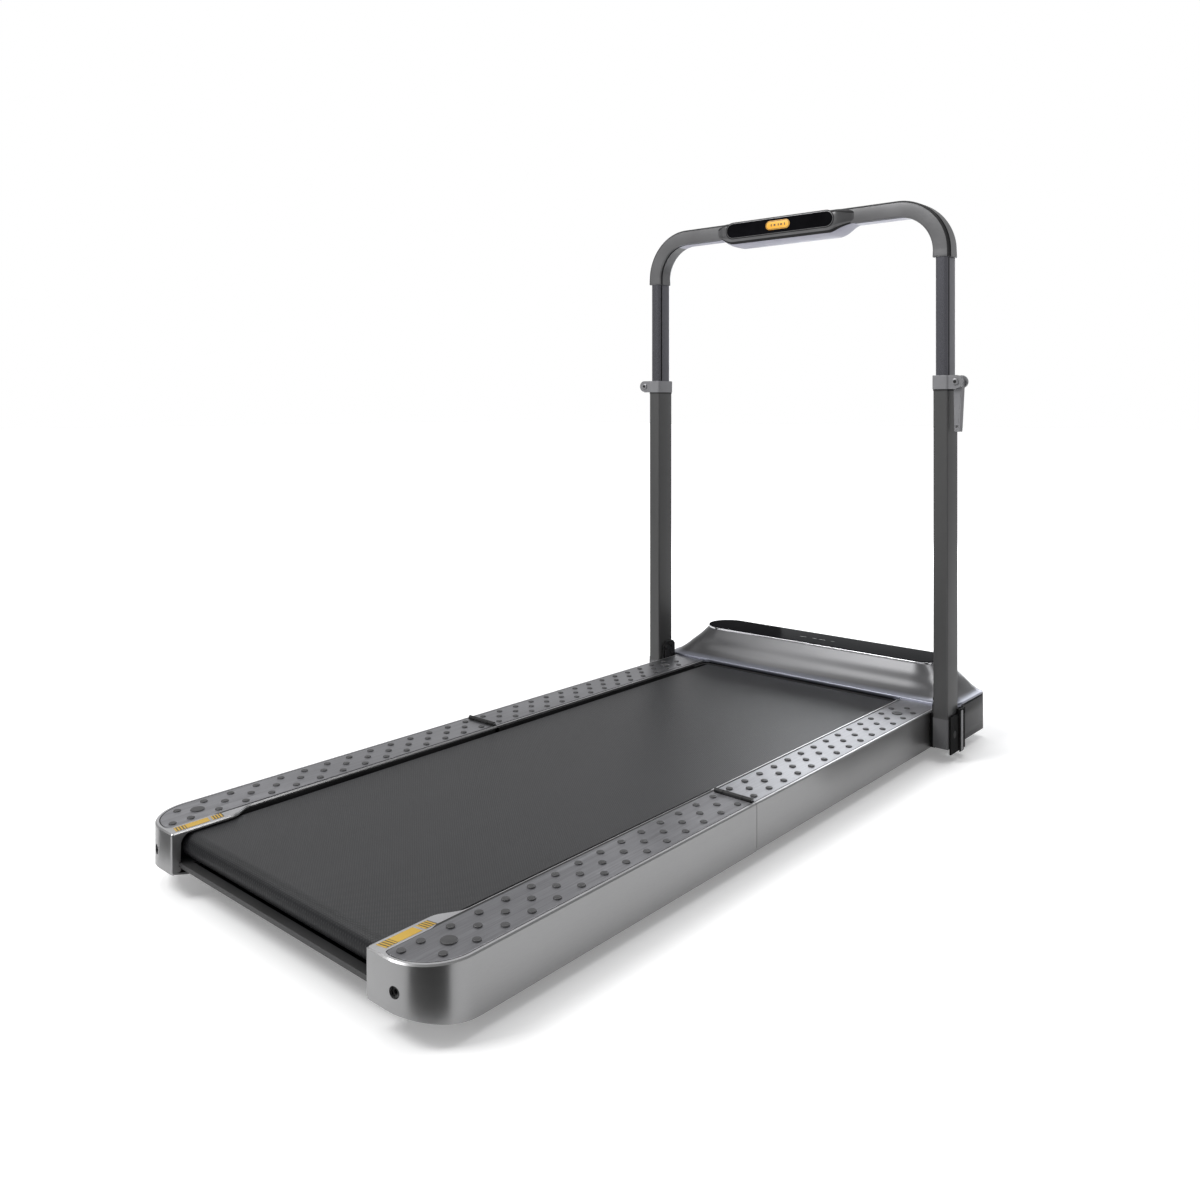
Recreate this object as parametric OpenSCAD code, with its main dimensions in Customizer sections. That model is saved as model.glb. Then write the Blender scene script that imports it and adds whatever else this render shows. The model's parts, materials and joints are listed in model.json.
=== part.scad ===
// Folding walking treadmill with a telescopic handrail.
// The walker faces +Y: the hood is at +Y, the tail at -Y, +X is the walker's right.
// The origin is on the floor, under the middle of the machine.

/* [Deck] */
// Whole length, tail to hood front
deck_l = 1445; // [1400:1:1500]
// Half of the width over the two rails
deck_half_w = 321; // [315:1:326]
// Height of the foot plates above the floor
deck_top = 90.6; // [86:0.1:94]
// Height of the rails' lower edge above the floor
deck_bottom = 20; // [18:1:24]
// Where the deck folds, along Y
seam_y = -94.4; // [-110:0.1:-80]
// Radius of the rounded tail corners
tail_r = 67; // [60:1:72]

/* [Belt] */
// Half of the belt's width
belt_half_w = 227; // [215:1:230]
// Height of the belt's walking face
belt_top = 84; // [82:0.5:85]
// Belt thickness
belt_t = 2; // [1.5:0.1:2.5]
// Radius of the two rollers
roller_r = 15; // [14:0.5:16]

/* [Hood] */
// Half of the hood's width
hood_half_w = 349.6; // [340:0.1:350]
// Height of the hood's display
hood_top = 157; // [150:1:160]
// Half of the display's length
display_half_l = 291; // [270:1:292]

/* [Handrail] */
// Distance from the middle to each upright's centre
upright_x = 345.5; // [345:0.1:348]
// Upright's place along Y
upright_y = 536.4; // [530:0.1:540]
// Outer tube section along X
tube_w = 29; // [28:0.5:30]
// Outer tube section along Y
tube_d = 49.6; // [48:0.1:51]
// Height where the outer tubes end and the collars start
collar_z = 713.5; // [690:0.5:730]
// Height of the cross handle's centre line
handle_z = 1066.5; // [1040:0.5:1080]

/* [Hidden] */
$fn = 48;

SATIN = [0.46, 0.46, 0.47];
DARK_TUBE = [0.27, 0.27, 0.28];
BLACK = [0.07, 0.07, 0.07];
RUBBER = [0.12, 0.12, 0.12];
STEEL = [0.68, 0.68, 0.7];
YELLOW = [0.85, 0.66, 0.2];

tail_y = -deck_l / 2;
front_y = deck_l / 2;
seam_gap = 1;

// Rails: an extrusion with an outer wall, a top web and a recess for the foot plate.
rail_t = 3;
rail_in = 238;
rail_rim_in = 241;
rail_rim_out = 315;
rail_chamfer = 1.8;
rail_web_z = deck_top - 4;
plate_seat_z = deck_top - 1.6;
plate_in = 244.5;
plate_out = 314.3;
bottom_lip_x = 300;
rail_front_y = 568;
cap_in = 220.6;
s_curve_y0 = -591;
s_curve_y1 = -634;
tail_lift_y = -640;
tail_lift = 14.5;
tension_x = 268;
tension_z = 57;

// Raised grip dots: three staggered rows on each rail.
dot_r = 5.5;
big_dot_r = 10;
dot_h = 1.7;
dot_pitch = 43.09;
dot_row_x = [257.2, 279.3, 301.4];
rear_dot_y = -115.9;
front_dot_y = -71.6;

// Frame beams, one welded ladder in each half.
beam_in = 238;
beam_out = 300;
beam_z0 = 34;
crossbar_z = 42.5;
crossbar_h = 7;
beam_t = 2.5;
member_h = 15;
member_half_d = 15;
member_z = 56.5;
front_member_y = [-60, 150, 350, 530];
rear_member_y = [-120, -280, -440, -600];

// Feet: their places along X and Y, and their stud.
foot_x = beam_in + 14;
front_foot_y = [-60, 520];
rear_foot_y = [-600, -130];
foot_post_r = 10;
foot_stud_r = 4;

board_t = 10;
board_top = belt_top - belt_t;
board_half_w = 215;
roller_z = belt_top - belt_t - roller_r;
rear_roller_y = -687;
front_roller_y = 600;
roller_half_l = 230;
axle_r = 6;
bearing_r = 12;
run_gap = 0.05;

// Drive: motor in the hood, beside it the ribbed belt to the front roller.
motor_y = 668;
motor_z = 62;
motor_r = 31;
motor_x0 = -205;
motor_x1 = -45;
pulley_x = -240;
pulley_w = 14;
roller_pulley_r = 25;
motor_pulley_r = 10;
drive_belt_t = 2;

wheel_y = 690;
wheel_z = 26;
wheel_r = 18;
wheel_axle_r = 4;

hood_t = 3;
hood_bottom = 18.5;
hood_shoulder = 90;
hood_neck_x = 318;
hood_neck_y = 590;
display_y0 = 622;
display_y1 = 722;
display_t = 4;

hinge_z = deck_top + 2.2;
knuckle_r = 3.4;
hinge_pin_r = 1.8;
hinge_web_d = 3.6;
hinge_front_spans = [[246, 262], [297, 313]];
hinge_rear_spans = [[262.5, 296.5]];

pivot_z = 51.4;
pivot_r = 7;
upright_bottom = 26.6;
lock_x = 366;
lock_z = 94.5;
lock_pin_r = 1.1;
bracket_out = 364;
bracket_y1 = 586;
bracket_top = 88;
end_cap_z = 83;
tube_t = 2;
collar_h = 25;
collar_lobe_r = 12.5;
collar_lobe_x = 376.5;
collar_lobe_y = 526;
clamp_x = 374.5;
clamp_z = 726;
clamp_bolt_r = 3;
inner_w = 24.2;
inner_d = 44.8;
inner_r = 7;
inner_z0 = 480;
inner_z1 = 976;
inner_groove_y = -13.5;
sleeve_w = 33;
sleeve_d = 47;
sleeve_r = 11;
sleeve_z = 965;
bend_r = 88.5;

function arc(cx, cy, r, a0, a1, n = 12) =
    [for (i = [0:n]) [cx + r * cos(a0 + (a1 - a0) * i / n), cy + r * sin(a0 + (a1 - a0) * i / n)]];

module both_sides() { children(); mirror([1, 0, 0]) children(); }

// A box from its lowest to its highest corner.
module block(lo, hi) { translate(lo) cube(hi - lo); }

// A round bar along X, centred on (y, z).
module bar_x(x0, x1, y, z, r) { translate([x0, y, z]) rotate([0, 90, 0]) cylinder(r = r, h = x1 - x0); }

// A round bar along Y, centred on (x, z).
module bar_y(x, y0, y1, z, r) { translate([x, y1, z]) rotate([90, 0, 0]) cylinder(r = r, h = y1 - y0); }

// A flat outline in X and Z, pushed along Y.
module along_y(y0, y1) { translate([0, y1, 0]) rotate([90, 0, 0]) linear_extrude(y1 - y0) children(); }

// A flat outline in Y and Z, pushed along X.
module along_x(x0, x1) {
    translate([x0, 0, 0]) rotate([90, 0, 90]) linear_extrude(x1 - x0) children();
}

module round_rect(w, d, r) {
    union() {
        square([w - 2 * r, d], center = true);
        square([w, d - 2 * r], center = true);
        for (x = [-1, 1], y = [-1, 1]) translate([x * (w / 2 - r), y * (d / 2 - r)]) circle(r);
    }
}

module stadium(half_l, r) {
    union() {
        square([2 * (half_l - r), 2 * r], center = true);
        for (x = [-1, 1]) translate([x * (half_l - r), 0]) circle(r);
    }
}

// ---- Rails ---------------------------------------------------------------------------------

module rail_profile() {
    polygon([[deck_half_w, deck_bottom], [deck_half_w, deck_top - rail_chamfer],
        [deck_half_w - rail_chamfer, deck_top], [rail_rim_out, deck_top], [rail_rim_out, plate_seat_z],
        [rail_rim_in, plate_seat_z], [rail_rim_in, deck_top], [rail_in, deck_top],
        [rail_in, rail_web_z], [deck_half_w - rail_t, rail_web_z],
        [deck_half_w - rail_t, deck_bottom + rail_t], [bottom_lip_x, deck_bottom + rail_t],
        [bottom_lip_x, deck_bottom]]);
}

module front_rail() { along_y(seam_y + seam_gap / 2, rail_front_y) rail_profile(); }

module front_rail_right() { color(SATIN) front_rail(); }

module front_rail_left() { color(SATIN) mirror([1, 0, 0]) front_rail(); }

// Plan of the rear rail: a rounded outer tail corner, and an inner edge that swings in to the
// roller's end cap. `inset` moves the outer and tail edges in, `inner` is added at the inner edge.
module tail_outline(inset = 0, inner = 0) {
    r = tail_r - inset;
    polygon(concat([[rail_in + inner, seam_y - seam_gap / 2 - inset],
            [deck_half_w - inset, seam_y - seam_gap / 2 - inset]],
        arc(deck_half_w - tail_r, tail_y + tail_r, r, 0, -90),
        [[cap_in + inner + 4, tail_y + inset], [cap_in + inner, tail_y + inset + 4]],
        [for (i = [0:8]) [cap_in + inner + (rail_in - cap_in) * (1 - cos(180 * i / 8)) / 2,
            s_curve_y1 + (s_curve_y0 - s_curve_y1) * i / 8]]));
}

// Plan of the recess and of the foot plate that lies in it.
module plate_outline(inset = 0) {
    r = tail_r - (deck_half_w - rail_rim_out) - inset;
    polygon(concat([[plate_in + inset, seam_y - 4 - inset], [rail_rim_out - inset, seam_y - 4 - inset]],
        arc(deck_half_w - tail_r, tail_y + tail_r, r, 0, -90),
        arc(plate_in + inset + 5, tail_y + 6 + inset + 5, 5, 270, 180, 4)));
}

// What is missing under the tail, in Y and Z: the underside sweeps up to the tail face.
module tail_lift_outline(above) {
    reach = tail_lift_y - tail_y;
    polygon(concat([[tail_lift_y + 1, deck_bottom - 5], [tail_lift_y + 1, deck_bottom + above]],
        [for (i = [0:6]) [tail_lift_y - reach * i / 6, deck_bottom + above + tail_lift * pow(i / 6, 1.7)]],
        [[tail_y - 1, deck_bottom + above + tail_lift], [tail_y - 1, deck_bottom - 5]]));
}

module rear_rail() {
    difference() {
        translate([0, 0, deck_bottom]) linear_extrude(deck_top - deck_bottom) tail_outline();
        // The inside, open towards the roller; its floor rises with the underside.
        difference() {
            translate([0, 0, deck_bottom + rail_t])
                linear_extrude(rail_web_z - deck_bottom - rail_t) tail_outline(rail_t, -10);
            along_x(200, 330) tail_lift_outline(rail_t);
        }
        block([200, s_curve_y0 + 2, 0], [rail_in + 2, seam_y + 2, rail_web_z]);
        block([rail_in - 1, seam_y - 5, deck_bottom + rail_t],
            [deck_half_w - rail_t, seam_y + 2, rail_web_z]);
        block([200, -630, -1], [bottom_lip_x, seam_y + 2, deck_bottom + rail_t + 1]);
        translate([0, 0, plate_seat_z]) linear_extrude(5) plate_outline();
        block([rail_rim_in, seam_y - 5, plate_seat_z], [rail_rim_out, seam_y + 2, 95]);
        // The underside rises towards the tail.
        along_x(200, 330) tail_lift_outline(0);
        bar_y(tension_x, tail_y - 5, tail_y + 8, tension_z, 6.9);
    }
}

module rear_rail_right() { color(SATIN) rear_rail(); }

module rear_rail_left() { color(SATIN) mirror([1, 0, 0]) rear_rail(); }

module front_foot_plates() {
    color([0.72, 0.72, 0.75]) both_sides()
        block([plate_in, seam_y + 4, plate_seat_z], [plate_out, rail_front_y, deck_top]);
}

module rear_foot_plates() {
    color([0.5, 0.5, 0.52]) both_sides()
        translate([0, 0, plate_seat_z]) linear_extrude(deck_top - plate_seat_z) plate_outline(0.7);
}

module dot(x, y, r = dot_r) { translate([x, y, deck_top]) cylinder(r = r, h = dot_h); }

module front_foot_dots() {
    color(RUBBER) both_sides() {
        for (j = [0:13], x = [dot_row_x[0], dot_row_x[2]]) dot(x, front_dot_y + j * dot_pitch);
        for (j = [0:13])
            dot(dot_row_x[1], front_dot_y + (j + 0.5) * dot_pitch, j == 12 ? big_dot_r : dot_r);
    }
}

module rear_foot_dots() {
    color(RUBBER) both_sides() {
        for (j = [0:13]) dot(dot_row_x[0], rear_dot_y - j * dot_pitch);
        for (j = [0:12]) dot(dot_row_x[2], rear_dot_y - j * dot_pitch);
        for (j = [0:12])
            dot(dot_row_x[1], rear_dot_y - (j + 0.5) * dot_pitch, j == 12 ? big_dot_r : dot_r);
        dot(dot_row_x[0], -703);
        dot(296, -677);
    }
}

// ---- Frames, boards and covers -----------------------------------------------------------------

module beam(y0, y1) {
    difference() {
        block([beam_in, y0, beam_z0], [beam_out, y1, rail_web_z]);
        block([beam_in + beam_t, y0 - 1, beam_z0 + beam_t],
            [beam_out - beam_t, y1 + 1, rail_web_z - beam_t]);
    }
}

// A cross member: a steel channel, open below.
module member(y) {
    difference() {
        block([-beam_in - 1, y - member_half_d, member_z],
            [beam_in + 1, y + member_half_d, member_z + member_h]);
        block([-beam_in, y - member_half_d + beam_t, member_z - 1],
            [beam_in, y + member_half_d - beam_t, member_z + member_h - beam_t]);
    }
}

// A stub under the beam that carries a foot.
module foot_post(y) {
    translate([foot_x, y, deck_bottom]) cylinder(r = foot_post_r, h = beam_z0 - deck_bottom);
}

// The hole in the post for the foot's stud.
module foot_hole(y) { translate([foot_x, y, deck_bottom - 1]) cylinder(r = foot_stud_r, h = 12); }

module front_frame() {
    color(BLACK) {
        difference() {
            union() {
                both_sides() {
                    beam(seam_y + 5, rail_front_y);
                    block([256, rail_front_y - 40, 24], [262, 716, 84]);
                    block([241, rail_front_y - 40, 60], [262, rail_front_y - 34, 84]);
                    for (y = front_foot_y) foot_post(y);
                }
                for (y = front_member_y) member(y);
                block([-262, 706, 24], [262, 716, 36]);
            }
            bar_x(-265, 265, front_roller_y, roller_z, axle_r);
            both_sides() for (y = front_foot_y) foot_hole(y);
        }
    }
}

module rear_frame() {
    color(BLACK) {
        difference() {
            union() {
                both_sides() {
                    beam(-640, seam_y - 5);
                    block([beam_in + 2, -712, 40], [beam_in + 8, -630, 84]);
                    block([beam_in + 7, -704, 48], [276, -692, 60.4]);
                    for (y = rear_foot_y) foot_post(y);
                }
                for (y = rear_member_y) member(y);
            }
            // Slots in which the roller's axle slides when the belt is tightened.
            both_sides() {
                bar_x(beam_in - 1, beam_in + 9, rear_roller_y, roller_z, axle_r + 0.05);
                block([beam_in - 1, rear_roller_y, roller_z - axle_r - 0.05],
                    [beam_in + 9, rear_roller_y + 12, roller_z + axle_r + 0.05]);
                bar_y(tension_x, -705, -691, tension_z, 3);
            }
            both_sides() for (y = rear_foot_y) foot_hole(y);
        }
    }
}

module front_running_board() {
    color([0.2, 0.2, 0.2])
        block([-board_half_w, seam_y + 3, board_top - board_t], [board_half_w, 578, board_top]);
}

module rear_running_board() {
    color([0.2, 0.2, 0.2])
        block([-board_half_w, -665, board_top - board_t], [board_half_w, seam_y - 3, board_top]);
}

module cover_sheet(y0, y1, feet) {
    difference() {
        block([-bottom_lip_x + 0.5, y0, deck_bottom], [bottom_lip_x - 0.5, y1, deck_bottom + 2]);
        both_sides() for (y = feet)
            translate([foot_x, y, deck_bottom - 1]) cylinder(r = foot_post_r + 1, h = 5);
    }
}

module front_bottom_cover() { color(BLACK) cover_sheet(seam_y + 2, 562, front_foot_y); }

module rear_bottom_cover() { color(BLACK) cover_sheet(-628, seam_y - 2, rear_foot_y); }

// A rubber foot with its stud, pressed up into the frame's post.
module foot(y) {
    translate([foot_x, y, 0]) {
        cylinder(r1 = 12, r2 = 13, h = deck_bottom, $fn = 40);
        cylinder(r = foot_stud_r - 0.05, h = deck_bottom + 8);
    }
}

module front_feet() { color(RUBBER) both_sides() for (y = front_foot_y) foot(y); }

module rear_feet() { color(RUBBER) both_sides() for (y = rear_foot_y) foot(y); }

// ---- Belt and rollers ----------------------------------------------------------------------------

// One half of the belt's loop: a wrap round the roller at y_roller and two runs to y_open.
module belt_loop(y_roller, y_open) {
    ro = roller_r + belt_t;
    away = y_roller > y_open ? 1 : -1;
    along_x(-belt_half_w, belt_half_w) difference() {
        union() {
            translate([y_roller, roller_z]) circle(ro);
            translate([min(y_roller, y_open), roller_z - ro]) square([abs(y_roller - y_open), 2 * ro]);
        }
        translate([y_roller, roller_z]) circle(roller_r + 0.02);
        translate([min(y_roller, y_open - away), roller_z - roller_r - 0.02])
            square([abs(y_roller - y_open) + 1, 2 * roller_r + 0.04]);
    }
}

module belt_front() { color(BLACK) belt_loop(front_roller_y, seam_y + seam_gap / 2); }

module belt_rear() { color(BLACK) belt_loop(rear_roller_y, seam_y - seam_gap / 2); }

module roller(y) {
    difference() {
        bar_x(-roller_half_l, roller_half_l, y, roller_z, roller_r - 0.3);
        bar_x(-roller_half_l - 1, roller_half_l + 1, y, roller_z, bearing_r + run_gap);
    }
}

module front_roller() { color(STEEL) roller(front_roller_y); }

module rear_roller() { color(STEEL) roller(rear_roller_y); }

module front_roller_axle() { color(STEEL) bar_x(-262, 262, front_roller_y, roller_z, axle_r); }

module rear_roller_axle() { color(STEEL) bar_x(-258, 258, rear_roller_y, roller_z, axle_r); }

module bearings(y) {
    both_sides() difference() {
        bar_x(roller_half_l - 14, roller_half_l, y, roller_z, bearing_r);
        bar_x(roller_half_l - 15, roller_half_l + 1, y, roller_z, axle_r);
    }
}

module front_roller_bearings() { color(STEEL) bearings(front_roller_y); }

module rear_roller_bearings() { color(STEEL) bearings(rear_roller_y); }

module tension_bolts() {
    color(STEEL) both_sides() {
        difference() {
            bar_y(tension_x, tail_y + 4, tail_y + 12, tension_z, 6.2);
            bar_y(tension_x, tail_y + 3, tail_y + 9, tension_z, 3);
        }
        bar_y(tension_x, tail_y + 11, tail_y + 34, tension_z, 3);
    }
}

module tail_crossbar() {
    color(BLACK) {
        block([-beam_in - 2, -712, crossbar_z], [beam_in + 2, -698, crossbar_z + crossbar_h]);
        both_sides() block([cap_in - 14, -712, crossbar_z], [beam_in + 2, -676, crossbar_z + crossbar_h]);
    }
}

module tail_labels() {
    color(YELLOW) both_sides() translate([0, 0, deck_top]) linear_extrude(0.4)
        polygon([[225, tail_y + 7], [240, tail_y + 7], [240, -640], [228, -640]]);
}

// ---- Drive ---------------------------------------------------------------------------------------

module roller_pulley() {
    color(RUBBER) difference() {
        union() {
            bar_x(pulley_x - pulley_w / 2, pulley_x + pulley_w / 2, front_roller_y, roller_z,
                roller_pulley_r);
            bar_x(pulley_x + pulley_w / 2, -roller_half_l, front_roller_y, roller_z, roller_r - 1);
        }
        bar_x(pulley_x - 20, -roller_half_l + 1, front_roller_y, roller_z, axle_r + run_gap);
    }
}

module motor_pulley() {
    color(STEEL) {
        bar_x(pulley_x - pulley_w / 2, pulley_x + pulley_w / 2, motor_y, motor_z, motor_pulley_r);
        bar_x(pulley_x, motor_x1 - 20, motor_y, motor_z, 5);
    }
}

// Belt outline over the two pulleys: the outer tangents of two circles, in Y and Z.
module drive_belt_shape(extra) {
    r0 = roller_pulley_r + extra;
    r1 = motor_pulley_r + extra;
    dy = motor_y - front_roller_y;
    dz = motor_z - roller_z;
    lean = atan2(dz, dy);
    wrap = acos((r0 - r1) / sqrt(dy * dy + dz * dz));
    union() {
        translate([front_roller_y, roller_z]) circle(r0);
        translate([motor_y, motor_z]) circle(r1);
        polygon([for (side = [-1, 1], end = side > 0 ? [1, 0] : [0, 1])
            let (a = lean + side * wrap, r = end == 0 ? r0 : r1)
            [(end == 0 ? front_roller_y : motor_y) + r * cos(a),
                (end == 0 ? roller_z : motor_z) + r * sin(a)]]);
    }
}

module drive_belt() {
    color(RUBBER) along_x(pulley_x - 7, pulley_x + 7) difference() {
        drive_belt_shape(drive_belt_t + 0.4);
        drive_belt_shape(0.4);
    }
}

module motor() {
    color([0.3, 0.3, 0.32]) difference() {
        union() {
            bar_x(motor_x0, motor_x1, motor_y, motor_z, motor_r);
            bar_x(motor_x0 - 6, motor_x0, motor_y, motor_z, 12);
        }
        bar_x(motor_x0 - 7, motor_x1 - 19, motor_y, motor_z, 5 + run_gap);
    }
}

module motor_mount() {
    color(STEEL) difference() {
        for (x = [motor_x0 + 15, motor_x1 - 35])
            block([x, motor_y - 24, hood_bottom + 3], [x + 20, motor_y + 24, motor_z - 12]);
        bar_x(motor_x0 - 1, motor_x1 + 1, motor_y, motor_z, motor_r + 0.02);
    }
}

module control_board() {
    color([0.1, 0.35, 0.2]) {
        block([20, 632, 30], [200, 698, 32]);
        for (x = [30, 190], y = [640, 690]) translate([x, y, hood_bottom + 3]) cylinder(r = 3, h = 9);
        block([30, 640, 32], [90, 665, 56]);
        for (i = [0:2]) translate([118 + 26 * i, 655, 32]) cylinder(r = 10, h = 32);
    }
}

// ---- Hood ----------------------------------------------------------------------------------------

// One level of the hood: the display's stadium grown by d, held inside the front face.
module hood_ring(d, z, inset = 0) {
    yc = (display_y0 + display_y1) / 2;
    r = (display_y1 - display_y0) / 2 + d - inset;
    translate([0, 0, z]) linear_extrude(0.1) intersection() {
        translate([0, yc]) stadium(display_half_l + d - inset, r, $fn = 32);
        translate([-hood_half_w + inset, 560 + inset])
            square([2 * (hood_half_w - inset), front_y - 560 - 2 * inset]);
    }
}

// How far the skirt has spread, and how high it is, at each level from the display down.
hood_levels = [[0, hood_top], [3, 152], [11, 141], [20, 129.5], [30, 119], [40, 107.5], [49, 98], [55, 94.4],
    [56, deck_top]];

module hood_body(inset = 0, drop = 0) {
    for (i = [1:len(hood_levels) - 1]) hull() {
        hood_ring(hood_levels[i - 1][0], hood_levels[i - 1][1] - drop, inset);
        hood_ring(hood_levels[i][0], hood_levels[i][1] - drop, inset);
    }
    // Straight lower walls, with the neck that passes between the uprights.
    translate([0, 0, hood_bottom - (drop > 0 ? 1 : 0)])
        linear_extrude(hood_shoulder + 1 - hood_bottom - drop + (drop > 0 ? 1 : 0)) hood_plan(inset);
}

module hood_plan(inset = 0) {
    polygon([[-hood_half_w + inset, hood_neck_y + inset], [-hood_neck_x + inset, hood_neck_y + inset],
        [-hood_neck_x + inset, rail_front_y + inset], [hood_neck_x - inset, rail_front_y + inset],
        [hood_neck_x - inset, hood_neck_y + inset], [hood_half_w - inset, hood_neck_y + inset],
        [hood_half_w - inset, front_y - inset], [-hood_half_w + inset, front_y - inset]]);
}

module hood_shell() {
    color([0.55, 0.55, 0.56]) difference() {
        hood_body();
        hood_body(hood_t, hood_t);
        // Seat of the display, the belt's way in, and the openings of the front wall.
        translate([0, (display_y0 + display_y1) / 2, hood_top - display_t])
            linear_extrude(10) stadium(display_half_l - 3, (display_y1 - display_y0) / 2 - 3);
        block([-rail_in, rail_front_y - 5, 0], [rail_in, rail_front_y + 6, deck_top + 1]);
        block([-hood_neck_x + hood_t, rail_front_y - 5, 0],
            [hood_neck_x - hood_t, rail_front_y + 4, deck_top - 0.6]);
        block([153.5, front_y - 5, 39], [166.5, front_y + 5, 61]);
        block([184, front_y - 5, 38], [212, front_y + 5, 62]);
    }
}

module hood_tray() {
    color(BLACK) {
        difference() {
            translate([0, 0, hood_bottom]) linear_extrude(3) hood_plan(hood_t + 0.3);
            both_sides() block([300, wheel_y - 20, 0], [322, wheel_y + 20, 30]);
        }
        both_sides() for (x = [295, 323]) difference() {
            block([x, wheel_y - 8, hood_bottom + 3], [x + 4, wheel_y + 8, wheel_z + 8]);
            bar_x(x - 1, x + 5, wheel_y, wheel_z, wheel_axle_r);
        }
    }
}

module display_bezel() {
    color([0.7, 0.7, 0.72]) translate([0, (display_y0 + display_y1) / 2, hood_top - display_t + 0.1])
        linear_extrude(display_t) difference() {
            stadium(display_half_l - 3.1, (display_y1 - display_y0) / 2 - 3.1);
            stadium(display_half_l - 6, (display_y1 - display_y0) / 2 - 6);
        }
}

module display_panel() {
    color([0.03, 0.03, 0.03]) translate([0, (display_y0 + display_y1) / 2, hood_top - display_t + 0.1])
        linear_extrude(display_t - 0.6)
            stadium(display_half_l - 6.1, (display_y1 - display_y0) / 2 - 6.1);
}

module power_inlet() {
    color(BLACK) difference() {
        union() {
            block([184.2, front_y - 22, 38.2], [211.8, front_y - 0.5, 61.8]);
            block([181, front_y - hood_t - 2, 36], [215, front_y - hood_t, 64]);
        }
        block([187, front_y - 18, 41], [209, front_y + 1, 59]);
    }
}

module power_switch() {
    color(BLACK) along_x(154.2, 165.8) polygon([[front_y - 8, 41.5], [front_y - 2.2, 40.5],
        [front_y - 3.6, 50], [front_y - 1.2, 59.5], [front_y - 8, 58.5]]);
}

// ---- Wheels and brackets ---------------------------------------------------------------------------

module transport_wheels() {
    color(RUBBER) both_sides() difference() {
        bar_x(302, 320, wheel_y, wheel_z, wheel_r);
        bar_x(301, 321, wheel_y, wheel_z, wheel_axle_r + run_gap);
    }
}

module wheel_axles() { color(STEEL) both_sides() bar_x(295, 327, wheel_y, wheel_z, wheel_axle_r); }

module upright_brackets() {
    color(BLACK) both_sides() difference() {
        union() {
            block([deck_half_w, 522, 22], [330.3, bracket_y1, bracket_top]);
            block([deck_half_w, 574, 22], [bracket_out, bracket_y1, bracket_top]);
            block([bracket_out - 3, 517, 16], [bracket_out, bracket_y1, bracket_top]);
            // Ears and pin that carry the kick plate.
            for (y = [551, 574.6]) block([bracket_out - 3, y, 84], [367.4, y + 3.4, lock_z + 2.4]);
            bar_y(lock_x, 551, 578, lock_z, lock_pin_r);
        }
        bar_x(deck_half_w - 1, 380, upright_y, pivot_z, pivot_r);
    }
}

module upright_pivot_pins() {
    color(STEEL) both_sides() bar_x(deck_half_w, bracket_out, upright_y, pivot_z, pivot_r);
}

// A kick plate that frees the upright: it swings out at its foot.
module base_lock() {
    difference() {
        union() {
            block([364.8, 555, 14], [367.2, 574, lock_z]);
            bar_y(lock_x, 555, 574, lock_z, 2.2);
        }
        bar_y(lock_x, 554, 575, lock_z, lock_pin_r + run_gap);
    }
}

module base_lock_right() { color(SATIN) base_lock(); }

module base_lock_left() { color(SATIN) mirror([1, 0, 0]) base_lock(); }

// ---- Deck hinge ------------------------------------------------------------------------------------

// Knuckles on the fold line with a web and a leaf; away is +1 for the front half, -1 for the rear.
module hinge_half(spans, away) {
    both_sides() for (s = spans) difference() {
        union() {
            bar_x(s[0], s[1], seam_y, hinge_z, knuckle_r);
            block([s[0], min(seam_y + away * seam_gap / 2, seam_y + away * hinge_web_d), plate_seat_z],
                [s[1], max(seam_y + away * seam_gap / 2, seam_y + away * hinge_web_d), hinge_z]);
        }
        bar_x(s[0] - 1, s[1] + 1, seam_y, hinge_z, hinge_pin_r + (away > 0 ? 0 : run_gap));
    }
}

module deck_hinge_front() { color(BLACK) hinge_half(hinge_front_spans, 1); }

module deck_hinge_rear() { color(BLACK) hinge_half(hinge_rear_spans, -1); }

module deck_hinge_pins() {
    color(STEEL) both_sides()
        bar_x(hinge_front_spans[0][0], hinge_front_spans[1][1], seam_y, hinge_z, hinge_pin_r);
}

// ---- Handrail --------------------------------------------------------------------------------------

module outer_tube() {
    translate([upright_x, upright_y, end_cap_z]) linear_extrude(collar_z - 1.5 - end_cap_z) difference() {
        round_rect(tube_w, tube_d, 3);
        round_rect(tube_w - 2 * tube_t, tube_d - 2 * tube_t, 3);
    }
}

module outer_tube_right() { color(DARK_TUBE) outer_tube(); }

module outer_tube_left() { color(DARK_TUBE) mirror([1, 0, 0]) outer_tube(); }

module tube_end_caps() {
    x0 = upright_x - tube_w / 2;
    x1 = upright_x + tube_w / 2;
    color([0.3, 0.3, 0.31]) both_sides() {
        difference() {
            union() {
                along_x(x0, x1) difference() {
                    translate([upright_y - tube_d / 2, upright_bottom])
                        square([tube_d, end_cap_z - upright_bottom]);
                    // Round heel that turns inside the bracket.
                    difference() {
                        translate([upright_y, upright_bottom - 1])
                            square([tube_d, pivot_z - upright_bottom + 1]);
                        translate([upright_y, pivot_z]) circle(tube_d / 2);
                    }
                }
                translate([upright_x, upright_y, end_cap_z])
                    linear_extrude(20) round_rect(tube_w - 2 * tube_t - 0.1, tube_d - 2 * tube_t - 0.1, 3);
            }
            bar_x(300, 380, upright_y, pivot_z, pivot_r + run_gap);
        }
    }
}

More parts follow.
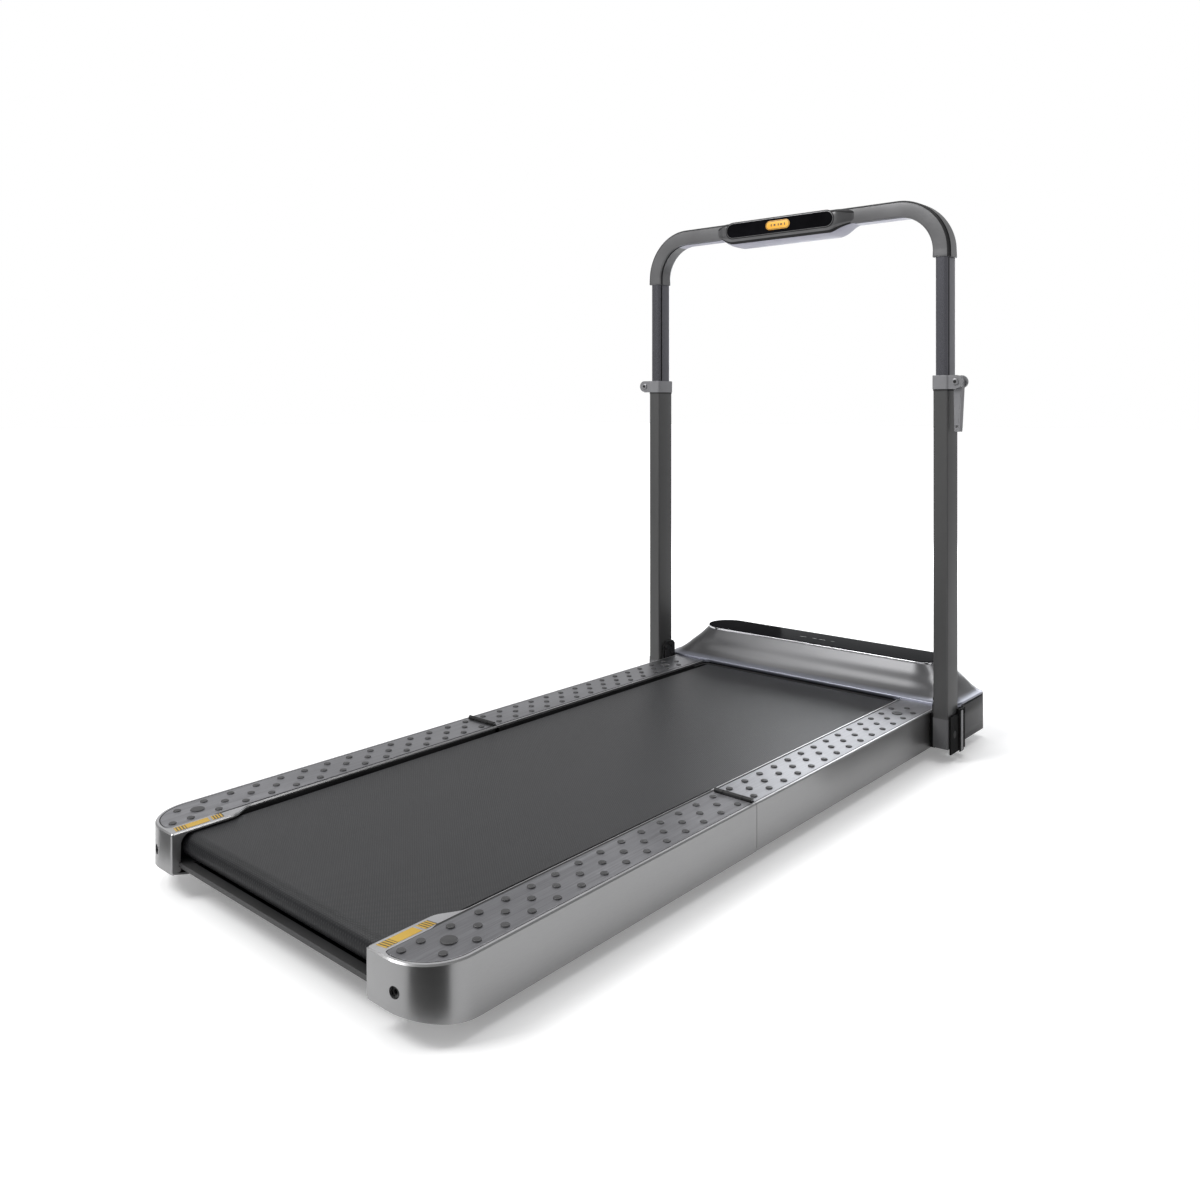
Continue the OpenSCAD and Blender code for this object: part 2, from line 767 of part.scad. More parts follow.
module collar() {
    difference() {
        translate([0, 0, collar_z - 1.5]) linear_extrude(collar_h + 1.5) difference() {
            union() {
                translate([upright_x, upright_y]) round_rect(tube_w + 3, tube_d + 5, 5);
                translate([upright_x + 10, collar_lobe_y - 14]) square([collar_lobe_x - upright_x - 10, 28]);
            }
            translate([upright_x, upright_y])
                round_rect(tube_w - 2 * tube_t, tube_d - 2 * tube_t, inner_r + 0.3);
            // The split that the lever closes, and the slot in which the lever turns.
            translate([upright_x + 8, upright_y + 4]) square([40, 2]);
            translate([363, collar_lobe_y - 8]) square([40, 16]);
        }
        bar_y(clamp_x, 500, 560, clamp_z, clamp_bolt_r);
    }
    difference() {
        for (y = [collar_lobe_y - 14, collar_lobe_y + 8])
            bar_y(collar_lobe_x, y, y + 6, clamp_z, collar_lobe_r);
        bar_y(clamp_x, 500, 560, clamp_z, clamp_bolt_r);
        block([300, 500, 735], [361, 560, 745]);
    }
}

module collar_right() { color([0.5, 0.5, 0.51]) collar(); }

module collar_left() { color([0.5, 0.5, 0.51]) mirror([1, 0, 0]) collar(); }

module clamp_bolts() {
    color(STEEL) both_sides() {
        bar_y(clamp_x, collar_lobe_y - 16, collar_lobe_y + 14, clamp_z, clamp_bolt_r);
        translate([clamp_x, collar_lobe_y - 14, clamp_z]) rotate([90, 0, 0])
            cylinder(r = 5, h = 3, $fn = 6);
    }
}

module clamp_lever() {
    color([0.52, 0.52, 0.53]) difference() {
        union() {
            bar_y(clamp_x, collar_lobe_y - 7, collar_lobe_y + 7, clamp_z, 10);
            along_y(collar_lobe_y - 7, collar_lobe_y + 7)
                polygon([[368, 728], [385, 728], [380, 631], [370, 631]]);
        }
        bar_y(clamp_x, 500, 560, clamp_z, clamp_bolt_r + run_gap);
        along_y(500, 560) translate([375, 641]) circle(2.5);
    }
}

module inner_tube() {
    translate([upright_x, upright_y, inner_z0]) linear_extrude(inner_z1 - inner_z0) difference() {
        round_rect(inner_w, inner_d, inner_r);
        round_rect(inner_w - 2 * tube_t, inner_d - 2 * tube_t, inner_r - tube_t);
        for (s = [-1, 1]) translate([s * (inner_w / 2), inner_groove_y]) square([2, 3], center = true);
    }
}

module inner_tube_right() { color([0.25, 0.25, 0.29]) inner_tube(); }

module inner_tube_left() { color([0.25, 0.25, 0.29]) mirror([1, 0, 0]) inner_tube(); }

module sleeve_ring() {
    difference() {
        round_rect(sleeve_w, sleeve_d, sleeve_r);
        round_rect(sleeve_w - 6, sleeve_d - 6, sleeve_r - 3);
    }
}

module handle_shell() {
    bend_x = upright_x - bend_r;
    bend_z = handle_z - bend_r;
    color([0.36, 0.36, 0.37]) {
        both_sides() {
            translate([upright_x, upright_y, sleeve_z]) linear_extrude(bend_z - sleeve_z) difference() {
                round_rect(sleeve_w, sleeve_d, sleeve_r);
                round_rect(inner_w + 0.1, inner_d + 0.1, inner_r);
            }
            translate([bend_x, upright_y, bend_z]) rotate([90, 0, 0]) rotate_extrude(angle = 90)
                translate([bend_r, 0]) sleeve_ring();
        }
        translate([-bend_x, upright_y, handle_z]) rotate([0, 90, 0])
            linear_extrude(2 * bend_x) sleeve_ring();
    }
}

console_y = 493;

module console_housing() {
    color([0.3, 0.3, 0.31]) difference() {
        along_y(console_y, 556) polygon([[-168, handle_z - sleeve_w / 2], [-120, 1030], [120, 1030],
            [168, handle_z - sleeve_w / 2], [150, 1062], [138, 1083], [-138, 1083], [-150, 1062]]);
        translate([-200, upright_y, handle_z]) rotate([0, 90, 0])
            linear_extrude(400) round_rect(sleeve_w + 0.1, sleeve_d + 0.1, sleeve_r);
        block([-200, upright_y - 5, handle_z], [200, 600, 1100]);
        translate([0, console_y + 1.5, handle_z - 4]) rotate([90, 0, 0])
            linear_extrude(5) stadium(128.1, 15.1);
    }
}

module console_glass() {
    color([0.02, 0.02, 0.02]) translate([0, console_y + 1.4, handle_z - 4]) rotate([90, 0, 0])
        linear_extrude(2) stadium(128, 15);
}

// ---- The whole machine -----------------------------------------------------------------------------

front_frame();
front_rail_left();
front_rail_right();
front_foot_plates();
front_foot_dots();
front_running_board();
belt_front();
front_roller();
front_roller_axle();
front_roller_bearings();
roller_pulley();
drive_belt();
motor();
motor_pulley();
motor_mount();
control_board();
hood_shell();
hood_tray();
display_bezel();
display_panel();
power_inlet();
power_switch();
transport_wheels();
wheel_axles();
front_feet();
front_bottom_cover();
upright_brackets();
upright_pivot_pins();
deck_hinge_front();
deck_hinge_rear();
deck_hinge_pins();
rear_frame();
rear_rail_left();
rear_rail_right();
rear_foot_plates();
rear_foot_dots();
rear_running_board();
belt_rear();
rear_roller();
rear_roller_axle();
rear_roller_bearings();
tension_bolts();
tail_crossbar();
tail_labels();
rear_feet();
rear_bottom_cover();
outer_tube_left();
outer_tube_right();
tube_end_caps();
collar_left();
collar_right();
clamp_bolts();
clamp_lever();
inner_tube_left();
inner_tube_right();
handle_shell();
console_housing();
console_glass();
base_lock_left();
base_lock_right();
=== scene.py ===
"""Looks of a folding walking treadmill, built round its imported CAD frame.

Shapes are written in millimetres and scaled to metres when a mesh is made. +Y points to the hood.
Nothing here is drawn at random, so every run gives the same model.
"""

import json
import math

import bmesh
import bpy
import numpy as np
from mathutils import Matrix, Vector

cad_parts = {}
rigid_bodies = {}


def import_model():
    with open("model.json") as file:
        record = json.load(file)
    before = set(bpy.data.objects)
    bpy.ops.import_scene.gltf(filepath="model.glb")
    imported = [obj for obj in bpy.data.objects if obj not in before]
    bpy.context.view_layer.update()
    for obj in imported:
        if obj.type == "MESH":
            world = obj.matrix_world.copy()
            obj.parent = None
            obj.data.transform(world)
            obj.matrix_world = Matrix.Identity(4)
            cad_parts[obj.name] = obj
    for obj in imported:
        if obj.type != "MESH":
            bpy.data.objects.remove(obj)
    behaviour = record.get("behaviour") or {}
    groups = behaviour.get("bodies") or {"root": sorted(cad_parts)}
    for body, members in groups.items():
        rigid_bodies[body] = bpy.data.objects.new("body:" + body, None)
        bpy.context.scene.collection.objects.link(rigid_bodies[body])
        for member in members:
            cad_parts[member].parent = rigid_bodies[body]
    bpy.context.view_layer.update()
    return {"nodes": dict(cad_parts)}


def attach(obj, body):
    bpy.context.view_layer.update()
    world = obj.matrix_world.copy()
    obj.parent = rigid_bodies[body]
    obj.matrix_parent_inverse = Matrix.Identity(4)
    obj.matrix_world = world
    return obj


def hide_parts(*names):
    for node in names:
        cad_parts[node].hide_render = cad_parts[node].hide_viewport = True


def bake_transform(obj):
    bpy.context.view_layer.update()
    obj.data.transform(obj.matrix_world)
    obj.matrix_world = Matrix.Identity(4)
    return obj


for leftover in list(bpy.data.objects):
    bpy.data.objects.remove(leftover)

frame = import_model()
NODES = frame["nodes"]
MM = 0.001

# ---- Sizes shared by several pieces, in millimetres ----

DECK_TOP = 90.6
DECK_BOTTOM = 20.0
HALF_W = 321.0
SEAM_Y = -94.4
TAIL_Y = -722.5
FRONT_Y = 722.5
CHAMFER = 1.8
WALL = 3.0
RIM_IN = 238.0
RIM_IN_EDGE = 241.0
OUT_RIM = 315.9
PLATE_Z = 89.0
WEB_Z = 86.6
CAP_IN = 220.6
TAIL_R = 67.0
UPRIGHT_X = 345.5
UPRIGHT_Y = 536.4
HANDLE_Z = 1066.5
BEND_R = 88.5
HANDLE_W = 33.0
HANDLE_D = 47.0
HANDLE_R = 11.0

# ---- Camera ----

camera_data = bpy.data.cameras.new("camera")
camera_data.sensor_width = 36.0
camera_data.lens = 30.976
camera_data.shift_x = 0.0062
camera_data.shift_y = -0.1618
camera_data.clip_start = 0.05
camera_data.clip_end = 50.0
camera = bpy.data.objects.new("camera", camera_data)
bpy.context.scene.collection.objects.link(camera)
camera.location = (1.15175, -1.40332, 0.6802)
camera.rotation_euler = (math.radians(90.0), 0.0, math.radians(41.442))
bpy.context.scene.camera = camera

# ---- Materials ----


class Paint:
    """A procedural material that is built up step by step on object coordinates."""

    def __init__(self, name, rough=0.45, metallic=0.0, **sockets):
        self.material = bpy.data.materials.new(name)
        self.material.use_nodes = True
        self.tree = self.material.node_tree
        self.shader = self.tree.nodes["Principled BSDF"]
        self.shader.inputs["Roughness"].default_value = rough
        self.shader.inputs["Metallic"].default_value = metallic
        for socket, value in sockets.items():
            self.shader.inputs[socket.replace("_", " ")].default_value = value
        self.coord = self.tree.nodes.new("ShaderNodeTexCoord").outputs["Object"]

    def node(self, kind, **inputs):
        made = self.tree.nodes.new("ShaderNode" + kind)
        for socket, value in inputs.items():
            self.plug(made.inputs[socket.replace("_", " ")], value)
        return made

    def plug(self, socket, value):
        if isinstance(value, bpy.types.NodeSocket):
            self.tree.links.new(value, socket)
        else:
            socket.default_value = value

    def noise(self, scale, stretch=(1, 1, 1), detail=3.0):
        """Noise with `scale` cells per metre, denser along an axis by its stretch."""
        size = [scale * s for s in stretch]
        mapping = self.node("Mapping", Vector=self.coord, Scale=size)
        return self.node("TexNoise", Vector=mapping.outputs[0], Scale=1.0, Detail=detail).outputs[0]

    def spread(self, value, low, high, start=0.3, end=0.7):
        """Turns the range from start to end into the range from low to high."""
        return self.node(
            "MapRange", Value=value, From_Min=start, From_Max=end, To_Min=low, To_Max=high
        ).outputs[0]

    def math(self, operation, a, b):
        made = self.tree.nodes.new("ShaderNodeMath")
        made.operation = operation
        self.plug(made.inputs[0], a)
        self.plug(made.inputs[1], b)
        return made.outputs[0]

    def mix(self, share, a, b):
        made = self.tree.nodes.new("ShaderNodeMix")
        made.data_type = "RGBA"
        self.plug(made.inputs[0], share)
        for socket, value in ((made.inputs[6], a), (made.inputs[7], b)):
            self.plug(socket, value if isinstance(value, bpy.types.NodeSocket) else (*value, 1.0))
        return made.outputs[2]

    def colour(self, value):
        self.plug(self.shader.inputs["Base Color"], value)
        return self

    def rough(self, value):
        self.plug(self.shader.inputs["Roughness"], value)
        return self

    def bump(self, height, strength, distance):
        made = self.node("Bump", Height=height, Strength=strength, Distance=distance * MM)
        previous = self.shader.inputs["Normal"]
        if previous.is_linked:
            self.tree.links.new(previous.links[0].from_socket, made.inputs["Normal"])
        self.tree.links.new(made.outputs[0], self.shader.inputs["Normal"])
        return self


def surface(name, dark, light, rough, metallic=0.0, blotch=14.0, grain=900.0, bump=0.12,
            stretch=(1, 1, 1), **sockets):
    """Paint, plastic or metal: broad tone changes, a fine grain in height and gloss."""
    paint = Paint(name, metallic=metallic, **sockets)
    broad = paint.noise(blotch, stretch=stretch, detail=4.0)
    fine = paint.noise(grain, stretch=stretch, detail=2.0)
    both = paint.math("ADD", paint.math("MULTIPLY", broad, 0.7), paint.math("MULTIPLY", fine, 0.3))
    paint.colour(paint.mix(paint.spread(both, 0.0, 1.0, 0.35, 0.65), dark, light))
    paint.rough(paint.spread(both, rough[0], rough[1]))
    paint.bump(fine, bump, 0.06)
    return paint


def brushed(name, dark, light, rough, line=2600.0, stretch=(1, 0.012, 1), aniso=0.6, **sockets):
    """Brushed metal with hairlines along Y."""
    paint = Paint(name, metallic=1.0, Anisotropic=aniso, **sockets)
    hair = paint.noise(line, stretch=stretch, detail=2.0)
    wide = paint.noise(line * 0.12, stretch=stretch, detail=3.0)
    cloud = paint.noise(9.0, detail=3.0)
    lines = paint.math("ADD", paint.math("MULTIPLY", hair, 0.55), paint.math("MULTIPLY", wide, 0.45))
    tone = paint.math("ADD", paint.math("MULTIPLY", lines, 0.8), paint.math("MULTIPLY", cloud, 0.2))
    paint.colour(paint.mix(paint.spread(tone, 0.0, 1.0, 0.36, 0.64), dark, light))
    paint.rough(paint.spread(lines, rough[0], rough[1]))
    paint.bump(lines, 0.18, 0.05)
    return paint


def belt_paint():
    """Rubber walking belt: a fine diamond weave with small specks; its gloss is turned down where it rounds
    the rear roller, as painted shade for the dark reflection there.
    """
    paint = Paint("belt_rubber")
    along = paint.node("SeparateXYZ", Vector=paint.coord).outputs[1]
    # Painted shade: the specular level falls over the rear roller's curve, in place of the dark reflection
    # there.
    gloss = paint.spread(along, 0.14, 0.5, -0.702, -0.688)
    paint.plug(paint.shader.inputs["Specular IOR Level"], gloss)
    waves = []
    for lean in (0.9, -0.9):
        mapping = paint.node("Mapping", Vector=paint.coord, Rotation=(0.0, 0.0, lean))
        wave = paint.node("TexWave", Vector=mapping.outputs[0], Scale=105.6, Distortion=0.0)
        waves.append(wave.outputs[1])
    weave = paint.math("MULTIPLY", *waves)
    cloud = paint.noise(5.0, stretch=(1.6, 0.5, 1), detail=5.0)
    speck = paint.noise(1400.0, detail=1.0)
    base = paint.mix(paint.spread(cloud, 0.0, 1.0), (0.008, 0.0083, 0.0092), (0.012, 0.0123, 0.0136))
    knots = paint.mix(paint.spread(weave, 0.0, 0.75, 0.25, 1.0), base, (0.028, 0.0285, 0.03))
    paint.colour(paint.mix(paint.spread(speck, 0.0, 0.35), knots, (0.022, 0.0225, 0.024)))
    paint.rough(paint.spread(weave, 0.42, 0.36, 0.0, 1.0))
    paint.bump(weave, 0.55, 0.35)
    paint.bump(speck, 0.15, 0.1)
    return paint


SKIN = surface("rail_skin", (0.31, 0.31, 0.312), (0.345, 0.345, 0.348), (0.3, 0.36), metallic=0.9,
               stretch=(1, 0.08, 1), grain=1600.0, bump=0.05)
EDGE = surface("rail_edge", (0.6, 0.6, 0.61), (0.68, 0.68, 0.69), (0.34, 0.4), metallic=1.0, bump=0.03)
PLATE = brushed("foot_plate", (0.24, 0.24, 0.253), (0.4, 0.4, 0.42), (0.29, 0.42))
DOT = surface("grip_dot", (0.035, 0.035, 0.036), (0.055, 0.055, 0.057), (0.42, 0.55), grain=1400.0)
BELT = belt_paint()
BLACK = surface("frame_black", (0.01, 0.01, 0.01), (0.018, 0.018, 0.019), (0.42, 0.55), grain=1500.0,
                Specular_IOR_Level=0.28)
DEEP = surface("bracket_black", (0.004, 0.004, 0.004), (0.007, 0.007, 0.007), (0.6, 0.7), grain=1500.0,
               Specular_IOR_Level=0.12)
BAR = surface("crossbar_black", (0.02, 0.02, 0.02), (0.028, 0.028, 0.029), (0.45, 0.55), grain=1500.0)
COVER = surface("cover_black", (0.014, 0.014, 0.015), (0.024, 0.024, 0.025), (0.55, 0.68), grain=1100.0,
                bump=0.3, Specular_IOR_Level=0.25)
HOOD = surface("hood_silver", (0.03, 0.03, 0.031), (0.038, 0.038, 0.039), (0.34, 0.38), metallic=0.5,
               grain=2400.0, bump=0.04)


def skirt_paint():
    """The hood's paint with a pale bluish band round its foot: a painted highlight for the light caught by
    the rounded lip.
    """
    paint = surface("hood_skirt_silver", (0.098, 0.098, 0.101), (0.104, 0.104, 0.107), (0.28, 0.295),
                    metallic=0.75, grain=2400.0, bump=0.025)
    height = paint.node("SeparateXYZ", Vector=paint.coord).outputs[2]
    # Painted highlight: below about 95 to 101 mm the colour turns pale bluish, standing in for the light on
    # the foot's rounded lip.
    foot = paint.spread(height, 1.0, 0.0, 0.0945, 0.1015)
    tone = paint.shader.inputs["Base Color"].links[0].from_socket
    paint.colour(paint.mix(foot, tone, (0.27, 0.28, 0.33)))
    return paint


SKIRT = skirt_paint()
GLASS = surface("black_glass", (0.003, 0.003, 0.0035), (0.006, 0.006, 0.007), (0.06, 0.1), blotch=8.0,
                grain=60.0, bump=0.0, Specular_IOR_Level=0.0004)
RIM = surface("bright_rim", (0.72, 0.72, 0.74), (0.82, 0.82, 0.84), (0.16, 0.24), metallic=1.0)
TUBE = surface("upright_paint", (0.062, 0.062, 0.062), (0.074, 0.074, 0.074), (0.36, 0.44),
               metallic=0.35, grain=2000.0, stretch=(1, 1, 0.1), bump=0.05)
HEEL = surface("heel_plastic", (0.085, 0.085, 0.088), (0.1, 0.1, 0.103), (0.4, 0.5), grain=1500.0)
COLLAR = surface("collar_plastic", (0.2, 0.2, 0.208), (0.24, 0.24, 0.25), (0.32, 0.42), metallic=0.35,
                 grain=1300.0, bump=0.15)
INNER = surface("inner_tube", (0.09, 0.09, 0.1), (0.11, 0.11, 0.124), (0.25, 0.31), metallic=0.8,
                grain=2200.0, stretch=(1, 1, 0.05), bump=0.04)
HANDLE = surface("handle_plastic", (0.12, 0.12, 0.122), (0.15, 0.15, 0.153), (0.3, 0.36),
                 metallic=0.6, grain=1800.0, bump=0.06)
HOUSING = surface("console_side", (0.07, 0.07, 0.072), (0.09, 0.09, 0.092), (0.32, 0.4),
                  metallic=0.4, grain=1800.0)
# Painted reflection: a pale lavender for the flat undersides of the handle and the console, standing in for
# light thrown up from below.
UNDER_REFLECTION = surface("handle_underside_reflection", (0.42, 0.42, 0.5), (0.5, 0.5, 0.58), (0.4, 0.5), grain=1500.0)
STEEL = surface("turned_steel", (0.42, 0.42, 0.43), (0.6, 0.6, 0.61), (0.22, 0.36), metallic=1.0,
                stretch=(14, 1, 1), grain=300.0)
BOARD = surface("board", (0.02, 0.018, 0.016), (0.04, 0.036, 0.032), (0.45, 0.6), stretch=(6, 0.6, 1))
RUBBER = surface("rubber", (0.018, 0.018, 0.018), (0.032, 0.032, 0.032), (0.68, 0.82), grain=800.0, bump=0.4)
CIRCUIT = surface("circuit_board", (0.01, 0.08, 0.03), (0.02, 0.16, 0.06), (0.4, 0.5), blotch=120.0)
YELLOW = surface("label_yellow", (0.44, 0.27, 0.03), (0.5, 0.32, 0.045), (0.34, 0.42), grain=700.0)
INK = surface("label_ink", (0.06, 0.045, 0.025), (0.09, 0.07, 0.04), (0.4, 0.5), grain=700.0)
ORANGE = surface("pill_orange", (0.86, 0.4, 0.03), (0.93, 0.5, 0.06), (0.3, 0.4), grain=900.0,
                 Coat_Weight=0.3)
ICON = surface("display_icon", (0.2, 0.21, 0.2), (0.3, 0.31, 0.3), (0.4, 0.5))

# ---- Mesh tools ----


def finish_mesh(name, mesh, body, paints, slot, replaces=(), bevel=0.0, smooth=32.0):
    """Makes an object of a mesh: its paints, its body, and the CAD nodes that it stands for."""
    mesh.validate()
    for paint in paints if isinstance(paints, (list, tuple)) else [paints]:
        mesh.materials.append(paint.material)
    mesh.shade_smooth()
    mesh.set_sharp_from_angle(angle=math.radians(smooth))
    made = bpy.data.objects.new(name, mesh)
    bpy.context.scene.collection.objects.link(made)
    if bevel:
        soften(made, bevel)
    if body:
        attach(made, body)
    if replaces:
        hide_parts(*([replaces] if isinstance(replaces, str) else replaces))
    return made


def soften(made, width, segments=3):
    """Rounds every edge sharper than 38 degrees."""
    edge = made.modifiers.new("edges", "BEVEL")
    edge.width = width * MM
    edge.segments = segments
    edge.limit_method = "ANGLE"
    edge.angle_limit = math.radians(38.0)
    edge.harden_normals = True
    edge.use_clamp_overlap = True


class Shape:
    """Vertices in millimetres and faces, joined up from simple solids."""

    def __init__(self):
        self.verts = []
        self.faces = []
        self.tags = []

    def add(self, verts, faces, tag=0):
        start = len(self.verts)
        self.verts += [tuple(v) for v in verts]
        self.faces += [tuple(i + start for i in f) for f in faces]
        self.tags += [tag] * len(faces)
        return self

    def rings(self, rings, closed=True, tag=0, caps=True):
        """Skins a list of equal loops; caps fills the first and the last."""
        n = len(rings[0])
        verts = [p for ring in rings for p in ring]
        faces = []
        for k in range(len(rings) - 1):
            for i in range(n if closed else n - 1):
                j = (i + 1) % n
                faces.append((k * n + i, k * n + j, (k + 1) * n + j, (k + 1) * n + i))
        if caps:
            faces.append(tuple(reversed(range(n))))
            faces.append(tuple(range((len(rings) - 1) * n, len(rings) * n)))
        return self.add(verts, faces, tag)

    def stack(self, loops, place=lambda u, v, w: (u, v, w), **options):
        """Skins flat loops, each at its own height; place turns (u, v, w) into x, y, z."""
        return self.rings([[place(u, v, w) for u, v in loop] for loop, w in loops], **options)

    def prism(self, loop, low, high, tag=0, **options):
        """A flat loop pushed from low to high."""
        return self.stack([(loop, low), (loop, high)], tag=tag, **options)

    def block(self, low, high, tag=0):
        loop = [(low[0], low[1]), (high[0], low[1]), (high[0], high[1]), (low[0], high[1])]
        return self.prism(loop, low[2], high[2], tag)

    def tube(self, outer, inner, low, high, tag=0):
        """A hollow section along Z."""
        loops = [(outer, low), (outer, high), (inner, high), (inner, low), (outer, low)]
        return self.stack(loops, tag=tag, caps=False)

    def turned(self, profile, centre, axis="x", count=40, tag=0):
        """A lathe shape: profile holds (radius, place along the axis), closed by its first point."""
        rings = []
        for i in range(count):
            a = 2 * math.pi * i / count
            ring = []
            for radius, along in profile:
                p = (radius * math.cos(a), radius * math.sin(a))
                offset = {"x": (along, *p), "y": (p[1], along, p[0]), "z": (*p, along)}[axis]
                ring.append(tuple(c + o for c, o in zip(centre, offset)))
            rings.append(ring)
        rings.append(rings[0])
        return self.rings(rings, tag=tag, caps=False)

    def mirrored(self):
        made = Shape()
        made.verts = [(-x, y, z) for x, y, z in self.verts]
        made.faces = [tuple(reversed(f)) for f in self.faces]
        made.tags = list(self.tags)
        return made

    def mesh(self, name):
        mesh = bpy.data.meshes.new(name)
        mesh.from_pydata([(x * MM, y * MM, z * MM) for x, y, z in self.verts], [], self.faces)
        mesh.polygons.foreach_set("material_index", self.tags)
        work = bmesh.new()
        work.from_mesh(mesh)
        bmesh.ops.remove_doubles(work, verts=work.verts, dist=0.001 * MM)
        bmesh.ops.recalc_face_normals(work, faces=work.faces)
        work.to_mesh(mesh)
        work.free()
        return mesh

    def piece(self, name, body, paints, slot, **options):
        return finish_mesh(name, self.mesh(name), body, paints, slot, **options)


def pair(shape, name, body, paints, slot, replaces="", **options):
    """The right-hand shape and its mirror image; {side} stands for right or left."""
    for side, made in (("right", shape), ("left", shape.mirrored())):
        made.piece(f"{name}_{side}", body.format(side=side), paints, slot,
                   replaces=replaces.format(side=side), **options)


def arc(cx, cy, r, a0, a1, n):
    """n + 1 points on a circle, from angle a0 to a1 in degrees."""
    angles = [math.radians(a0 + (a1 - a0) * i / n) for i in range(n + 1)]
    return [(cx + r * math.cos(a), cy + r * math.sin(a)) for a in angles]


def round_rect(w, d, r, n=6, cx=0.0, cy=0.0):
    corners = ((1, 1, 0), (-1, 1, 90), (-1, -1, 180), (1, -1, 270))
    return [
        p
        for sx, sy, a in corners
        for p in arc(cx + sx * (w / 2 - r), cy + sy * (d / 2 - r), r, a, a + 90, n)
    ]


def stadium(half_l, r, n, cy):
    return arc(half_l - r, cy, r, -90, 90, n) + arc(r - half_l, cy, r, 90, 270, n)


def ring_of(r, cx, cy):
    return [(cx + r * math.cos(a * math.pi / 12), cy + r * math.sin(a * math.pi / 12)) for a in range(24)]


def inset(loop, d):
    """A loop moved inwards by d; the loop runs anticlockwise."""
    made = []
    n = len(loop)
    for i in range(n):
        a, b, c = (Vector(loop[(i + k) % n]) for k in (-1, 0, 1))
        before, after = (b - a).normalized(), (c - b).normalized()
        normals = [Vector((-before.y, before.x)), Vector((-after.y, after.x))]
        mean = (normals[0] + normals[1]).normalized()
        made.append(tuple(b + mean * (d / max(0.35, mean.dot(normals[0])))))
    return made


def cut(made, *cutters):
    """Takes cutters away from an object, for good."""
    for cutter in cutters:
        change = made.modifiers.new("cut", "BOOLEAN")
        change.operation = "DIFFERENCE"
        change.solver = "EXACT"
        change.object = cutter
    bpy.context.view_layer.update()
    graph = bpy.context.evaluated_depsgraph_get()
    mesh = bpy.data.meshes.new_from_object(made.evaluated_get(graph))
    for used in [made, *cutters]:
        bpy.data.objects.remove(used)
    return mesh


def loose(shape, name):
    return finish_mesh(name, shape.mesh(name), None, [BLACK], None)


def along_x(u, v, w):
    return (w, u, v)


def along_y(u, v, w):
    return (u, w, v)


# ---- CAD nodes that stay: rounded edges and a material ----


def keep(names, paint, width):
    """Gives CAD nodes a paint and rounds their edges by width."""
    for name in names.split():
        node = NODES[name]
        custom = node.data.attributes.get("custom_normal")
        if custom:
            node.data.attributes.remove(custom)
        node.data.materials.clear()
        node.data.materials.append(paint.material)
        node.data.shade_smooth()
        node.data.set_sharp_from_angle(angle=math.radians(32.0))
        weld = node.modifiers.new("weld", "WELD")
        weld.merge_threshold = 0.01 * MM
        soften(node, width, 2)


keep("transport_wheels", RUBBER, 1.5)
keep("front_foot_plates rear_foot_plates", PLATE, 0.35)
keep("front_frame rear_frame", BLACK, 0.6)
keep("tail_crossbar", BAR, 0.6)
keep("upright_brackets", DEEP, 0.8)
keep("deck_hinge_front deck_hinge_rear", BLACK, 0.3)
keep("front_bottom_cover rear_bottom_cover hood_tray", COVER, 0.5)
keep("front_running_board rear_running_board", BOARD, 0.6)
keep("front_roller rear_roller front_roller_axle rear_roller_axle front_roller_bearings"
     " rear_roller_bearings motor_mount wheel_axles deck_hinge_pins motor_pulley", STEEL, 0.3)
keep("roller_pulley power_inlet power_switch", COVER, 0.4)
keep("drive_belt front_feet rear_feet", RUBBER, 0.8)
# Painted shade: the tension bolts are black so the holes round them in the tail caps read dark; the pivot
# pins share this black.
keep("tension_bolts upright_pivot_pins", BLACK, 0.3)
keep("motor", BLACK, 1.2)
keep("control_board", CIRCUIT, 0.4)
keep("console_glass", GLASS, 0.5)
keep("tube_end_caps", HEEL, 1.0)
keep("collar_left collar_right clamp_lever", COLLAR, 1.2)

# ---- Deck rails ----


def tail_outline():
    """Plan of the right rear rail, anticlockwise from the seam's inner corner."""
    swing = []
    for i in range(13):
        share = (1 - math.cos(math.pi * i / 12)) / 2
        swing.append((CAP_IN + (RIM_IN - CAP_IN) * share, -634.0 + 43.0 * i / 12))
    corner = arc(HALF_W - TAIL_R, TAIL_Y + TAIL_R, TAIL_R, -90, 0, 28)
    tip = arc(CAP_IN + 4, TAIL_Y + 4, 4, 180, 270, 6)
    end = SEAM_Y - 0.5
    return tip + corner + [(HALF_W, end), (RIM_IN, end)] + swing[::-1]


def rail_edge_tags(mesh):
    """The narrow rims on top are polished; the chamfer, the recess and the walls aren't."""
    for face in mesh.polygons:
        face.material_index = int(face.center.z > (PLATE_Z + 0.1) * MM and face.normal.z > 0.9)


def tail_lift(y):
    """How far the underside rises towards the tail."""
    return 14.5 * max(0.0, (-640.0 - y) / 82.5) ** 1.7


